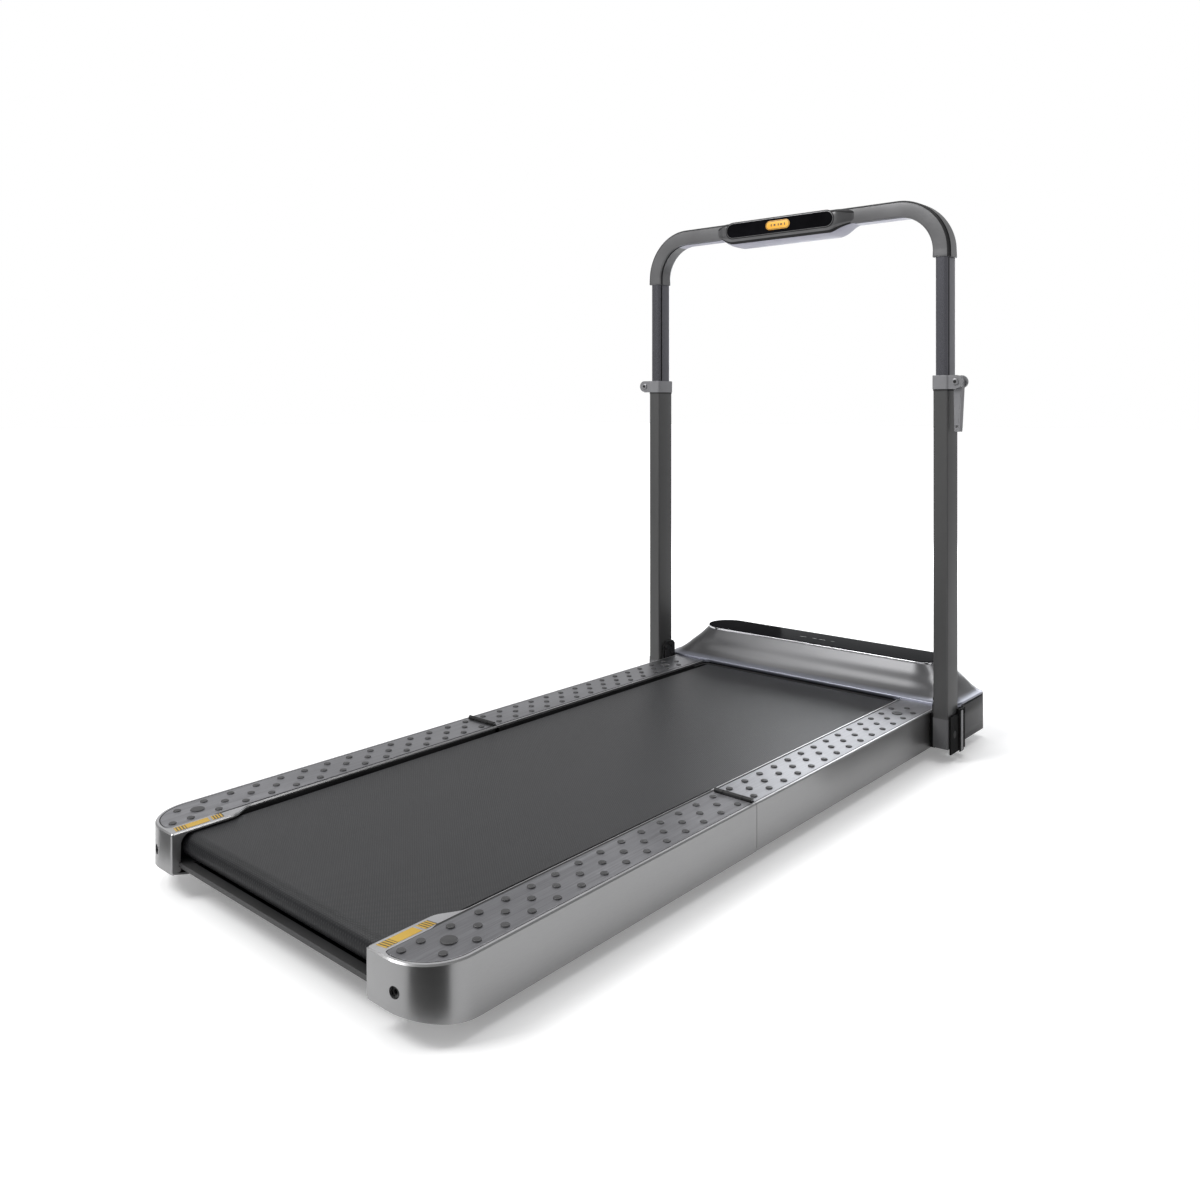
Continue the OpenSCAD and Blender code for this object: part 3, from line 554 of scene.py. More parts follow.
def rear_rail():
    """The right rear rail: its plan, cut hollow, with the plate's recess and the lifted tail."""
    outer = tail_outline()
    end = SEAM_Y - 0.5
    seam_fix = [i for i, p in enumerate(outer) if abs(p[1] - end) < 0.01]
    top = inset(outer, CHAMFER)
    for i in seam_fix:
        top[i] = (top[i][0], end)
    body = Shape().stack([(outer, 15.0), (outer, DECK_TOP - CHAMFER), (top, DECK_TOP)])
    # Hollow, open below and towards the roller.
    hollow = [(x if x > 250 else x - 30, y if y < -700 else y) for x, y in inset(outer, WALL)]
    hollow = [(x, y + (8 if abs(y - end) < WALL + 0.1 else 0)) for x, y in hollow]
    hollow_tool = Shape().prism(hollow, 10.0, WEB_Z)
    r = TAIL_R - (HALF_W - OUT_RIM)
    seat = arc(249.5, TAIL_Y + 11, 5, 180, 270, 5)
    seat += arc(HALF_W - TAIL_R, TAIL_Y + TAIL_R, r, -90, 0, 28)
    seat += [(OUT_RIM, end + 5), (RIM_IN_EDGE, end + 5), (RIM_IN_EDGE, -640.0), (244.5, -650.0)]
    seat_tool = Shape().prism(seat, PLATE_Z, 96.0)
    ys = [-639.0 - 85.0 * i / 16 for i in range(17)]
    under = [(y, DECK_BOTTOM + tail_lift(y)) for y in ys]
    under = [(end + 5, 5.0), (end + 5, DECK_BOTTOM)] + under + [(ys[-1], 5.0)]
    under_tool = Shape().prism(under, 190.0, 340.0, place=along_x)
    bore = Shape().turned([(0.01, -8), (6.9, -8), (6.9, 8), (0.01, 8)], (268.0, TAIL_Y, 57.0), "y", 36)
    tools = [loose(t, f"tool{i}") for i, t in enumerate((hollow_tool, seat_tool, under_tool, bore))]
    return cut(loose(body, "rail_blank"), *tools)


def mirror_mesh(mesh):
    made = mesh.copy()
    made.transform(Matrix.Scale(-1.0, 4, (1, 0, 0)))
    made.flip_normals()
    return made


rear_mesh = rear_rail()
for side, mesh in (("right", rear_mesh), ("left", mirror_mesh(rear_mesh))):
    mesh.materials.clear()
    rail_edge_tags(mesh)
    finish_mesh(f"rear_rail_skin_{side}", mesh, "rear_deck", [SKIN, EDGE], "rail_skin",
                replaces=f"rear_rail_{side}", smooth=24.0)

FRONT_PROFILE = [
    (HALF_W, DECK_BOTTOM + 0.8), (HALF_W, DECK_TOP - CHAMFER), (HALF_W - CHAMFER, DECK_TOP),
    (OUT_RIM, DECK_TOP), (OUT_RIM, PLATE_Z), (RIM_IN_EDGE, PLATE_Z), (RIM_IN_EDGE, DECK_TOP),
    (RIM_IN, DECK_TOP), (RIM_IN, WEB_Z), (HALF_W - WALL, WEB_Z), (HALF_W - WALL, DECK_BOTTOM + WALL),
    (300.0, DECK_BOTTOM + WALL), (300.0, DECK_BOTTOM), (HALF_W - 0.8, DECK_BOTTOM),
]
front_shape = Shape().prism(FRONT_PROFILE, SEAM_Y + 0.5, 568.0, place=along_y)
for side, shape in (("right", front_shape), ("left", front_shape.mirrored())):
    mesh = shape.mesh(f"front_rail_skin_{side}")
    rail_edge_tags(mesh)
    finish_mesh(f"front_rail_skin_{side}", mesh, "front_deck", [SKIN, EDGE], "rail_skin",
                replaces=f"front_rail_{side}", smooth=24.0)

# The lip under each rear rail, and the floor that closes the tail corner.
lip = Shape().block((300.0, -632.0, DECK_BOTTOM), (HALF_W - WALL + 0.5, SEAM_Y - 0.5, DECK_BOTTOM + WALL))
rows = []
for i in range(13):
    y = -630.0 - 89.0 * i / 12
    side_x = HALF_W - WALL + 0.5
    if y < TAIL_Y + TAIL_R:
        reach = TAIL_Y + TAIL_R - y
        side_x = HALF_W - TAIL_R + math.sqrt(max(0.0, (TAIL_R - WALL + 0.5) ** 2 - reach**2))
    low = DECK_BOTTOM + tail_lift(y) + 0.2
    rows.append([(222.5, y, low), (side_x, y, low), (side_x, y, low + 2.6), (222.5, y, low + 2.6)])
lip.rings(rows)
# The narrow return of the tail wall, with its round corner under the deck.
web = [(-721.5, 36.0), (-709.5, 36.0), (-709.5, 72.0)] + arc(-694.5, 72.0, 15.0, 180, 90, 8)
web += [(-640.0, 87.0), (-640.0, 89.0), (-721.5, 89.0)]
lip.prism(web, CAP_IN + 0.05, CAP_IN + 2.4, place=along_x)
pair(lip, "rear_rail_inner", "rear_deck", SKIN, "rail_skin")


def groove_line(loop, name, body):
    """A thin black wall standing in the groove between the foot plate and the rail's outer rim: painted
    shade for the dark gap.
    """
    inner_loop = [(x - 1.55 * nx, y - 1.55 * ny) for (x, y), (nx, ny) in loop]
    outer_loop = [p for p, _ in loop]
    low, high = PLATE_Z - 0.2, DECK_TOP - 0.2
    section = [(outer_loop, low), (outer_loop, high), (inner_loop, high), (inner_loop, low),
               (outer_loop, low)]
    pair(Shape().stack(section, closed=False, caps=False), name, body, COVER, "rail_skin")


straight = [((OUT_RIM, y), (1.0, 0.0)) for y in (SEAM_Y + 4, 566.0)]
groove_line(straight, "groove_front", "front_deck")
bend_r = TAIL_R - (HALF_W - OUT_RIM)
bend = [((x, y), ((x - HALF_W + TAIL_R) / bend_r, (y - TAIL_Y - TAIL_R) / bend_r))
        for x, y in arc(HALF_W - TAIL_R, TAIL_Y + TAIL_R, bend_r, -90, 0, 28)]
groove_line(bend + [((OUT_RIM, SEAM_Y - 4), (1.0, 0.0))], "groove_rear", "rear_deck")


def dot_mesh(places):
    shape = Shape()
    for x, y, r in places:
        for sx in (1, -1):
            base = DECK_TOP - 0.05
            profile = [(0.01, base), (r, base), (r, base + 0.75)]
            profile += [(r - 0.9 + 0.9 * math.cos(a), base + 0.75 + 0.7 * math.sin(a))
                        for a in (0.5, 1.0, 1.5)]
            profile += [(0.6 * r, base + 1.66), (0.01, base + 1.74)]
            shape.turned(profile, (sx * x, y, 0.0), "z", 28)
    return shape


PITCH = 43.09
FIRST_FRONT, FIRST_REAR = -71.6, -115.9
DOT_R, BIG_DOT_R, BIG_DOT = 5.5, 10.0, 12
INNER_X, MIDDLE_X, OUTER_X = 257.2, 279.3, 301.4
front_dots = [(x, FIRST_FRONT + PITCH * j, DOT_R) for j in range(14) for x in (INNER_X, OUTER_X)]
front_dots += [(MIDDLE_X, FIRST_FRONT + PITCH * (j + 0.5), BIG_DOT_R if j == BIG_DOT else DOT_R)
               for j in range(14)]
rear_dots = [(INNER_X, FIRST_REAR - PITCH * j, DOT_R) for j in range(14)]
rear_dots += [(OUTER_X, FIRST_REAR - PITCH * j, DOT_R) for j in range(13)]
rear_dots += [(MIDDLE_X, FIRST_REAR - PITCH * (j + 0.5), BIG_DOT_R if j == BIG_DOT else DOT_R)
              for j in range(13)]
rear_dots += [(INNER_X, -703.0, DOT_R), (296.0, -677.0, DOT_R)]
dot_mesh(front_dots).piece("front_dots", "front_deck", DOT, "grip_rubber", replaces="front_foot_dots")
dot_mesh(rear_dots).piece("rear_dots", "rear_deck", DOT, "grip_rubber", replaces="rear_foot_dots")

# ---- Tail labels: a yellow field between two groups of slanting bars ----

LABEL_IN, LABEL_OUT, LABEL_LEAN = 226.5, 240.5, 3.0


def slanted(shape, y0, y1, tag, thickness):
    loop = [(LABEL_IN, y0), (LABEL_OUT, y0 + LABEL_LEAN), (LABEL_OUT, y1 + LABEL_LEAN), (LABEL_IN, y1)]
    shape.prism(loop, DECK_TOP, DECK_TOP + thickness, tag=tag)


label = Shape()
slanted(label, -697.0, -663.0, 0, 0.3)
for group in (-713.5, -658.5):
    for k in range(4):
        y = group + 4.3 * k
        slanted(label, y, y + 2.3, 0, 0.3)
        slanted(label, y + 2.3, y + 4.2, 1, 0.2)
pair(label, "tail_label", "rear_deck", [YELLOW, INK], "label")
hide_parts("tail_labels")

# The sheet under the rear roller, from the bottom cover up to the cross bar.
sheet_path = [(-626.0, 21.0), (-640.0, 21.5), (-665.0, 24.5), (-688.0, 31.0), (-699.0, 37.5)]
under_sheet = Shape()
profile = sheet_path + [(y, z + 2.0) for y, z in reversed(sheet_path)]
under_sheet.prism(profile, -236.0, 236.0, place=along_x)
under_sheet.piece("tail_under_sheet", "rear_deck", COVER, "cover_plastic")

# ---- Walking belt ----


def belt():
    """A loop round both rollers, with closer rows at the seam between the deck's two halves."""
    r_out, r_in, axis_z = 17.0, 15.0, 67.0
    y_front, y_rear = 600.0, -687.0
    run = [y_rear + (y_front - y_rear) * i / 60 for i in range(61)]
    run = [y for y in run if not -125.0 < y < -64.0]
    run += [-125.0 + 61.0 * i / 30 for i in range(31)]
    run.sort()

    def loop(r):
        points = [(y, axis_z + r) for y in run]
        points += arc(y_front, axis_z, r, 90, -90, 20)[1:-1]
        points += [(y, axis_z - r) for y in reversed(run)]
        points += arc(y_rear, axis_z, r, 270, 90, 20)[1:-1]
        return points

    edge = 226.9
    columns = [-edge + 0.5] + [-edge + 2 * edge * i / 18 for i in range(1, 18)] + [edge - 0.5]
    outer, inner = loop(r_out), loop(r_in)
    middle = loop(16.0)
    section = [(-edge, middle)] + [(x, outer) for x in columns] + [(edge, middle)]
    section += [(x, inner) for x in reversed(columns)]
    rings = [[(x, pts[i][0], pts[i][1]) for x, pts in section] for i in range(len(outer))]
    rings.append(rings[0])
    return Shape().rings(rings, caps=False)


belt_piece = finish_mesh("walking_belt", belt().mesh("walking_belt"), None, [BELT], None, smooth=40.0)
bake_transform(belt_piece)
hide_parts("belt_front", "belt_rear")

# ---- Hood ----

DISPLAY_YC = 672.0
DISPLAY_R = 50.0
DISPLAY_L = 290.0
GLASS_TOP = 157.0
HOOD_X = 349.6
HOOD_REAR_Y = 566.0
SKIRT_TOP = 152.0
SKIRT_REACH = 62.0


def skirt_heights(spreads):
    """Height of the skirt at each spread from the display: a slope of about 45 degrees, then a lip."""
    slopes = [(0, 51), (12, 50.5), (20, 44), (25, 44), (31, 48.5), (36, 47.5), (42, 41), (48, 40),
              (53, 34), (57, 25), (61.2, 12)]
    fine = np.linspace(0.0, 61.2, 245)
    fall = np.tan(np.radians(np.interp(fine, [k[0] for k in slopes], [k[1] for k in slopes])))
    drop = np.concatenate([[0.0], np.cumsum((fall[1:] + fall[:-1]) / 2 * np.diff(fine))])
    drop *= (SKIRT_TOP - 94.6) / drop[-1]
    lip = [(61.6, 94.3), (61.9, 93.8), (SKIRT_REACH, 93.0)]
    where = list(fine) + [k[0] for k in lip]
    height = list(SKIRT_TOP - drop) + [k[1] for k in lip]
    return [float(np.interp(d, where, height)) for d in spreads]


def longer(loop):
    """The loop with more points on its long straight sides."""
    made = []
    for i, p in enumerate(loop):
        q = loop[(i + 1) % len(loop)]
        made.append(p)
        if math.dist(p, q) > 300:
            made += [(p[0] + (q[0] - p[0]) * k / 16, p[1] + (q[1] - p[1]) * k / 16) for k in range(1, 16)]
    return made


def hood_foot(angles):
    """The hood's outline at the foot, at each angle seen from the centre of the display's right end."""
    cx, rear, front = DISPLAY_L - DISPLAY_R, 44.0, 7.0
    corners = [(cx, HOOD_REAR_Y)] + arc(HOOD_X - rear, HOOD_REAR_Y + rear, rear, -90, 0, 60)
    corners += arc(HOOD_X - front, FRONT_Y - front, front, 0, 90, 20) + [(cx, FRONT_Y)]
    dense = []
    for (ax, ay), (bx, by) in zip(corners, corners[1:]):
        steps = max(1, int(math.dist((ax, ay), (bx, by))))
        dense += [(ax + (bx - ax) * k / steps, ay + (by - ay) * k / steps) for k in range(steps)]
    dense.append(corners[-1])
    turns = [math.degrees(math.atan2(y - DISPLAY_YC, x - cx)) for x, y in dense]
    xs = np.interp(angles, turns, [p[0] for p in dense])
    ys = np.interp(angles, turns, [p[1] for p in dense])
    return [(float(x), float(y)) for x, y in zip(xs, ys)]


def hood_skirt():
    """Loops from the display's edge down to the outline at the foot."""
    count = 44
    angles = [-90 + 180 * i / count for i in range(count + 1)]
    right = hood_foot(angles)
    foot = longer(right + [(-x, y) for x, y in reversed(right)])
    top = arc(DISPLAY_L - DISPLAY_R, DISPLAY_YC, DISPLAY_R, -90, 90, count)
    top = longer(top + [(-x, y) for x, y in reversed(top)])
    spreads = [0] + [0.8 + 2.1 * i for i in range(29)] + [61.2, 61.6, 61.9, SKIRT_REACH]
    made = []
    for d, z in zip(spreads, skirt_heights(spreads)):
        ring = []
        for (tx, ty), (fx, fy) in zip(top, foot):
            gap = math.dist((tx, ty), (fx, fy))
            # The slope is cut off by the front wall, and stretched a little towards the corners.
            width = 64.0 if fy > FRONT_Y - 0.01 else max(55.0, gap)
            share = min(1.0, d / SKIRT_REACH * width / gap)
            ring.append((tx + (fx - tx) * share, ty + (fy - ty) * share, z))
        made.append(ring)
    made.append([(x, y, 87.6) for x, y, _ in made[-1]])
    return made


def thicken(made, thickness):
    thick = made.modifiers.new("thickness", "SOLIDIFY")
    thick.thickness = thickness * MM
    thick.offset = -1.0


skirt = Shape().rings(hood_skirt(), caps=False)
thicken(skirt.piece("hood_skirt", "front_deck", SKIRT, "hood", replaces="hood_shell", smooth=50.0), 2.2)


def display_loop(d):
    """The display's outline, grown by d."""
    return stadium(DISPLAY_L + d, DISPLAY_R + d, 24, DISPLAY_YC)


# A bright band stands round the display, and the glass lies on it.
section = [(-0.1, 150.0), (0.25, 152.2), (0.35, 153.8), (0.25, 155.2), (-0.2, 155.7), (-4.0, 155.7),
           (-4.0, 150.0), (-0.1, 150.0)]
rim = Shape().stack([(display_loop(d), z) for d, z in section], caps=False)
rim.piece("display_rim", "front_deck", RIM, "bezel", replaces="display_bezel", smooth=60.0)
levels = [(-4.1, 151.0), (-4.1, 155.8), (-0.1, 155.8), (0.1, 156.2), (-0.1, 156.7), (-0.9, 156.95),
          (-3.0, GLASS_TOP)]
glass = Shape().stack([(display_loop(d), z) for d, z in levels])
glass.piece("display_glass", "front_deck", GLASS, "display_glass", replaces="display_panel", smooth=60.0)

# The mouth where the belt runs in under the hood: corners in the hood's skirt paint, low enough to lie
# wholly in its painted highlight band, over a thin black strip lying on the belt, a painted shadow under the
# lip.
corner = arc(226.0, 554.0, 12.0, 90, 0, 8)
mouth_corner = Shape().prism([(238.6, 567.0)] + corner[::-1], 87.6, 92.6)
pair(mouth_corner, "mouth_corner", "front_deck", SKIRT, "hood", bevel=0.8)
inner_path = [(0.0, 557.5)] + arc(219.5, 544.0, 13.5, 90, 0, 10) + [(233.0, 520.0)]
outer_path = [(238.2, 520.0)] + arc(226.0, 554.4, 12.2, 0, 90, 10) + [(0.0, 567.0)]
mouth_shadow_strip = Shape().prism(inner_path[::-1] + outer_path[::-1], 84.25, 84.95)
pair(mouth_shadow_strip, "mouth_shadow_strip", "front_deck", COVER, "hood")

# Walls below the skirt, with the openings of the socket and the switch.
wall_path = [(238.0, 568.0), (318.0, 568.0), (318.0, 590.0), (331.6, 590.0)]
wall_path += arc(HOOD_X - 18, 608.0, 18.0, -90, 0, 6)[1:]
wall_path += [(HOOD_X, 680.0)] + arc(HOOD_X - 7, FRONT_Y - 7, 7.0, 0, 90, 6)
wall_path += [(x, FRONT_Y) for x in (212.0, 184.0, 166.5, 153.5, 0.0)]
wall_path += [(-x, y) for x, y in reversed(wall_path[:-5])]
SOCKET = (184.0, 212.0, 38.0, 62.0)
SWITCH = (153.5, 166.5, 39.0, 61.0)


def in_opening(opening, x, z):
    x0, x1, z0, z1 = opening
    return x0 < x < x1 and z0 < z < z1


levels = [18.5, SOCKET[2], SWITCH[2], SWITCH[3], SOCKET[3], 90.8]
n_path = len(wall_path)
cells = []
for k in range(len(levels) - 1):
    for i in range(n_path - 1):
        x_mid = (wall_path[i][0] + wall_path[i + 1][0]) / 2
        z_mid = (levels[k] + levels[k + 1]) / 2
        front = wall_path[i][1] == FRONT_Y == wall_path[i + 1][1]
        if not (front and (in_opening(SOCKET, x_mid, z_mid) or in_opening(SWITCH, x_mid, z_mid))):
            low, high = k * n_path + i, (k + 1) * n_path + i
            cells.append((low, low + 1, high + 1, high))
wall = Shape().add([(x, y, z) for z in levels for x, y in wall_path], cells)
thicken(wall.piece("hood_wall", "front_deck", HOOD, "hood", smooth=40.0), 2.4)

# Faint generic marks on the display's glass: four dashes, three buttons, a minus and a plus.
marks = Shape()
MARK_Z = GLASS_TOP - 0.09
DASH_Y, BUTTON_Y = 668, 664
for x, w in ((-40, 16), (-12, 10), (8, 16), (34, 8)):
    marks.prism(round_rect(w, 1.6, 0.5, 3, x, DASH_Y), MARK_Z, MARK_Z + 0.12)
for x in (-66, 62, 92):
    marks.tube(ring_of(5, x, BUTTON_Y), ring_of(4.1, x, BUTTON_Y), MARK_Z, MARK_Z + 0.08)
for x in (-66, 92):
    marks.prism(round_rect(5, 0.9, 0.4, 3, x, BUTTON_Y), MARK_Z, MARK_Z + 0.08)
marks.prism(round_rect(0.9, 5, 0.4, 3, 92, BUTTON_Y), MARK_Z, MARK_Z + 0.08)
marks.piece("display_marks", "front_deck", ICON, "display_glass")

# ---- Handrail ----


def upright_loop(w, d, r):
    return round_rect(w, d, r, 6, UPRIGHT_X, UPRIGHT_Y)


tube = Shape().tube(upright_loop(29, 49.6, 3.2), upright_loop(25, 45.6, 2.5), 83.0, 712.0)
pair(tube, "upright_tube", "uprights", TUBE, "upright_metal", replaces="outer_tube_{side}")
seal = Shape().tube(upright_loop(30.4, 51.2, 4.0), upright_loop(28.9, 49.5, 3.0), 708.8, 712.4)
pair(seal, "collar_seal", "uprights", RUBBER, "collar_plastic")


def inner_section():
    """The inner tube's outline, with a deep groove in each side next to the rear corner."""
    w, d, r = 24.2 / 2, 44.8 / 2, 7.0
    loop = arc(w - r, d - r, r, 0, 90, 6) + arc(-w + r, d - r, r, 90, 180, 6)
    groove = [(-10.6, 0.0), (-10.8, 1.9), (-15.3, 1.9), (-15.5, 0.0)]
    loop += [(-w + g, y) for y, g in groove]
    loop += arc(-w + r, -d + r, r, 180, 270, 9) + arc(w - r, -d + r, r, 270, 360, 9)
    loop += [(w - g, y) for y, g in reversed(groove)]
    return [(x + UPRIGHT_X, y + UPRIGHT_Y) for x, y in loop]


inner = Shape()
outline = inner_section()
hollow = [(UPRIGHT_X + (x - UPRIGHT_X) * 0.8, UPRIGHT_Y + (y - UPRIGHT_Y) * 0.9) for x, y in outline]
inner.tube(outline, hollow, 480.0, 976.0)
in_groove = [abs(x - UPRIGHT_X) > 9.0 and -15.6 < y - UPRIGHT_Y < -10.5 for x, y in outline]
for i in range(len(outline)):
    if in_groove[i] and in_groove[(i + 1) % len(outline)]:
        inner.tags[i] = 1
pair(inner, "inner_tube_skin", "handle", [INNER, COVER], "inner_metal", replaces="inner_tube_{side}")


def handle_section():
    """Outline in (across, y), where across points out of the bend, and what each of its sides is.

    A groove runs along each of the two rear corners and is painted black; on the outer side the black also
    covers the rounded rear corner as a painted dark reflection.
    """
    w, d, r = HANDLE_W / 2, HANDLE_D / 2, HANDLE_R
    parts = [
        (arc(w - r, d - r, r, 0, 90, 9) + arc(-w + r, d - r, r, 90, 180, 9), 0),
        ([(-w, -d + 9.0), (-w + 1.8, -d + 8.4), (-w + 1.8, -d + 4.0)], 2),
        (arc(-w + 3.6, -d + 3.6, 3.6, 180, 270, 5), 0),
        # Painted dark reflection: the rounded outer rear corner is black, running into the black groove.
        (arc(w - 4.0, -d + 4.0, 4.0, 270, 345, 5), 2),
        ([(w - 1.8, -d + 4.4), (w - 1.8, -d + 9.6), (w, -d + 10.2)], 2),
    ]
    loop = [p for points, _ in parts for p in points]
    tags = [tag for points, tag in parts for _ in points]
    tags[-1] = 0
    return loop, tags


def handle():
    """The inverted U that carries the console, swept from the foot of one leg to the other's."""
    section, tags = handle_section()
    across = [u for u, _ in section]
    under = 0.3 - HANDLE_W / 2
    bend_x, bend_z = UPRIGHT_X - BEND_R, HANDLE_Z - BEND_R
    places = [(UPRIGHT_X, 965.0, 0.0, -0.5), (UPRIGHT_X, 965.4, 0.0, 0.0), (UPRIGHT_X, 966.2, 0.0, 0.3),
              (UPRIGHT_X, 969.0, 0.0, 0.3), (UPRIGHT_X, 980.0, 0.0, 0.0)]
    for i in range(25):
        a = math.radians(90.0 * i / 24)
        places.append((bend_x + BEND_R * math.cos(a), bend_z + BEND_R * math.sin(a), a, 0.0))
    places += [(bend_x * (1 - i / 10), HANDLE_Z, math.pi / 2, 0.0) for i in range(1, 11)]
    places += [(-x, z, math.pi - a, g) for x, z, a, g in reversed(places[:-1])]
    rings = []
    for x, z, a, grow in places:
        k = 1.0 + grow / 20.0
        rings.append([(x + u * k * math.cos(a), UPRIGHT_Y + v * k, z + u * k * math.sin(a))
                      for u, v in section])
    shape = Shape().rings(rings)
    n = len(section)
    for i in range(len(shape.faces) - 2):
        # The bar's flat underside, between the bends, gets the pale lavender: a painted reflection of light
        # from below.
        flat_under = tags[i % n] == 0 and across[i % n] < under and across[(i + 1) % n] < under
        off_centre = abs(rings[i // n][0][0])
        shape.tags[i] = 1 if flat_under and off_centre < 285 else tags[i % n]
    return shape


handle().piece("handle_skin", "handle", [HANDLE, UNDER_REFLECTION, COVER], "handle", replaces="handle_shell",
               smooth=38.0)


def fade(x, start, length):
    """1 up to start on each side of the middle, then smoothly down to 0."""
    share = 1.0 - min(1.0, max(0.0, (abs(x) - start) / length))
    return share * share * (3 - 2 * share)


def console():
    """A bulging housing under and behind the cross bar, which runs out into the bar at both ends."""
    full = [(536, 1082.9), (520, 1082.7), (506, 1081.4), (499, 1080), (495, 1077.6), (493.2, 1074),
            (493, 1068), (493, 1056), (493.2, 1050), (494.2, 1045.4), (497, 1039.5), (502, 1034.6),
            (509, 1031.4), (518, 1030), (536, 1030), (550, 1030), (556.5, 1032.6), (560.2, 1038),
            (560.2, 1050), (560, 1066), (556, 1077), (548, 1082)]
    bar = []
    w, d, r = HANDLE_W / 2 - 0.4, HANDLE_D / 2 - 0.4, HANDLE_R
    for y, z in full:
        dy, dz = y - UPRIGHT_Y, z - HANDLE_Z
        scale = 1.0 / max(abs(dy) / d, abs(dz) / w)
        py, pz = dy * scale, dz * scale
        ky, kz = max(0.0, abs(py) - (d - r)), max(0.0, abs(pz) - (w - r))
        reach = math.hypot(ky, kz)
        if reach > r:
            py = math.copysign(d - r + ky * r / reach, py)
            pz = math.copysign(w - r + kz * r / reach, pz)
        bar.append((UPRIGHT_Y + py, HANDLE_Z + pz))
    rings = []
    xs = [0, 30, 60, 90, 112, 118, 122, 126, 130, 134, 138, 142, 146, 150, 154, 158, 162, 166, 169]
    for x in [-x for x in reversed(xs[1:])] + xs:
        drop, bulge = fade(x, 116.0, 50.0), fade(x, 132.0, 36.0)
        ring = []
        for (y, z), (by, bz) in zip(full, bar):
            ring.append((x, by + (y - by) * bulge, bz + (z - bz) * (drop if z < 1052 else bulge)))
        rings.append(ring)
    shape = Shape().rings(rings)
    # Round the section: the top edge is black as a painted dark reflection, the lip below the glass is dark,
    # and the flat underside is pale lavender as a painted reflection.
    kinds = [2] * 5 + [3] * 4 + [0, 2] + [1] * 5 + [0] * 6
    for i in range(len(shape.faces) - 2):
        shape.tags[i] = kinds[i % len(full)]
    return shape


console().piece("console_skin", "handle", [HANDLE, UNDER_REFLECTION, COVER, HOUSING], "handle",
                replaces="console_housing", smooth=50.0)

RING_BACK = 493.4
RING_Z = 1062.5
PILL_Z = 1063.5
PILL_BACK = 492.3
PILL_FRONT = 491.6
MARK_BACK = 491.8


def ring_round_glass(name, paint, outer, inner, front):
    """A flat ring in the console's face; outer and inner are (half length, radius)."""
    outside, inside = stadium(*outer, 16, RING_Z), stadium(*inner, 16, RING_Z)
    loops = [(outside, RING_BACK), (outside, front + 0.3), (inside, front), (inside, RING_BACK),
             (outside, RING_BACK)]
    Shape().stack(loops, along_y, caps=False).piece(name, "handle", paint, "handle")


ring_round_glass("console_groove", COVER, (131.6, 18.3), (129.3, 16.2), 492.4)
ring_round_glass("console_frame", HANDLE, (129.3, 16.2), (128.3, 15.3), 492.2)

# The orange pill: a raised field with a rounded edge, a thin dark line round it and five marks.
rounded = [(0.3 * (1 - math.sin(a)), PILL_FRONT + 0.3 * (1 - math.cos(a)))
           for a in map(math.radians, (90, 60, 30, 0))]
field = stadium(29.0, 9.5, 14, PILL_Z)
pill = Shape().stack([(inset(field, d), y) for d, y in [(0, PILL_BACK)] + rounded], along_y)
pill.piece("console_pill", "handle", ORANGE, "handle")
ticks = Shape()
for x, w, h in ((-15, 2.2, 5), (-7, 4.4, 4), (2, 2.2, 5), (9, 4.4, 4), (17, 2.2, 5)):
    ticks.prism(round_rect(w, h, 0.8, 3, x, PILL_Z), 491.35, MARK_BACK, place=along_y)
ticks.piece("pill_marks", "handle", INK, "handle")
line_out, line_in = stadium(28.0, 8.5, 14, PILL_Z), stadium(27.0, 7.5, 14, PILL_Z)
loops = [(line_out, MARK_BACK), (line_out, 491.4), (line_in, 491.4), (line_in, MARK_BACK),
         (line_out, MARK_BACK)]
Shape().stack(loops, along_y, caps=False).piece("pill_edge", "handle", INK, "handle")

# The clamp's bolts: a domed washer round a hexagon socket, whose black floor is painted shade in the hole.
BOLT = (374.5, 0.0, 726.0)
bolt = Shape()
head = [(3.2, 516.0), (3.2, 509.2), (4.4, 509.2), (6.4, 510.4), (6.9, 511.8), (6.9, 512.2), (3.2, 516.0)]
bolt.turned(head, BOLT, "y", 28)
bolt.turned([(0.01, 510.6), (3.25, 510.6), (3.25, 540.0), (0.01, 540.0)], BOLT, "y", 6, tag=1)
pair(bolt, "clamp_bolt", "uprights", [COLLAR, BLACK], "roller_steel")
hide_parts("clamp_bolts")

# Kick plates: a black plate with a bright rib down its middle, hung from a barrel.
LOCK_X, LOCK_Z = 366, 94.5
KICK_Y0, KICK_Y1, KICK_FOOT = 555.0, 574.0, 14.0
kick = Shape().block((364.8, KICK_Y0, KICK_FOOT), (366.2, KICK_Y1, LOCK_Z))
kick.block((366.0, 559.6, KICK_FOOT), (367.2, 568.4, LOCK_Z + 1.6), tag=1)
barrel = [(1.4, KICK_Y0), (2.2, KICK_Y0), (2.2, KICK_Y1), (1.4, KICK_Y1), (1.4, KICK_Y0)]
kick.turned(barrel, (LOCK_X, 0.0, LOCK_Z), "y", 24)
pair(kick, "kick_plate", "base_lock_{side}", [DEEP, COLLAR], "rail_skin", replaces="base_lock_{side}",
     bevel=0.3)

# ---- Latch between each upright and the deck ----

latch = Shape()
latch.prism([(521, 87.5), (567, 87.5), (567, 118), (560, 125), (534, 126), (524, 117)], 326.6, 330.4,
            place=along_x)
latch.prism([(527, 90), (545, 90), (545, 100), (536, 108), (527, 106)], 323.0, 327.0, place=along_x)
latch.prism([(548, 94), (564, 94), (564, 103), (548, 103)], 324.2, 327.0, place=along_x)
for y, z, r in ((531, 114, 3.4), (556, 113, 4.2), (545, 118, 2.4)):
    latch.turned([(0.01, -3.4), (r - 0.5, -3.4), (r, -2.9), (r, 0.2), (0.01, 0.2)], (326.8, y, z), "x", 20)
pair(latch, "upright_latch", "front_deck", BLACK, "frame_black", bevel=0.5)

# ---- Floor, light and background ----

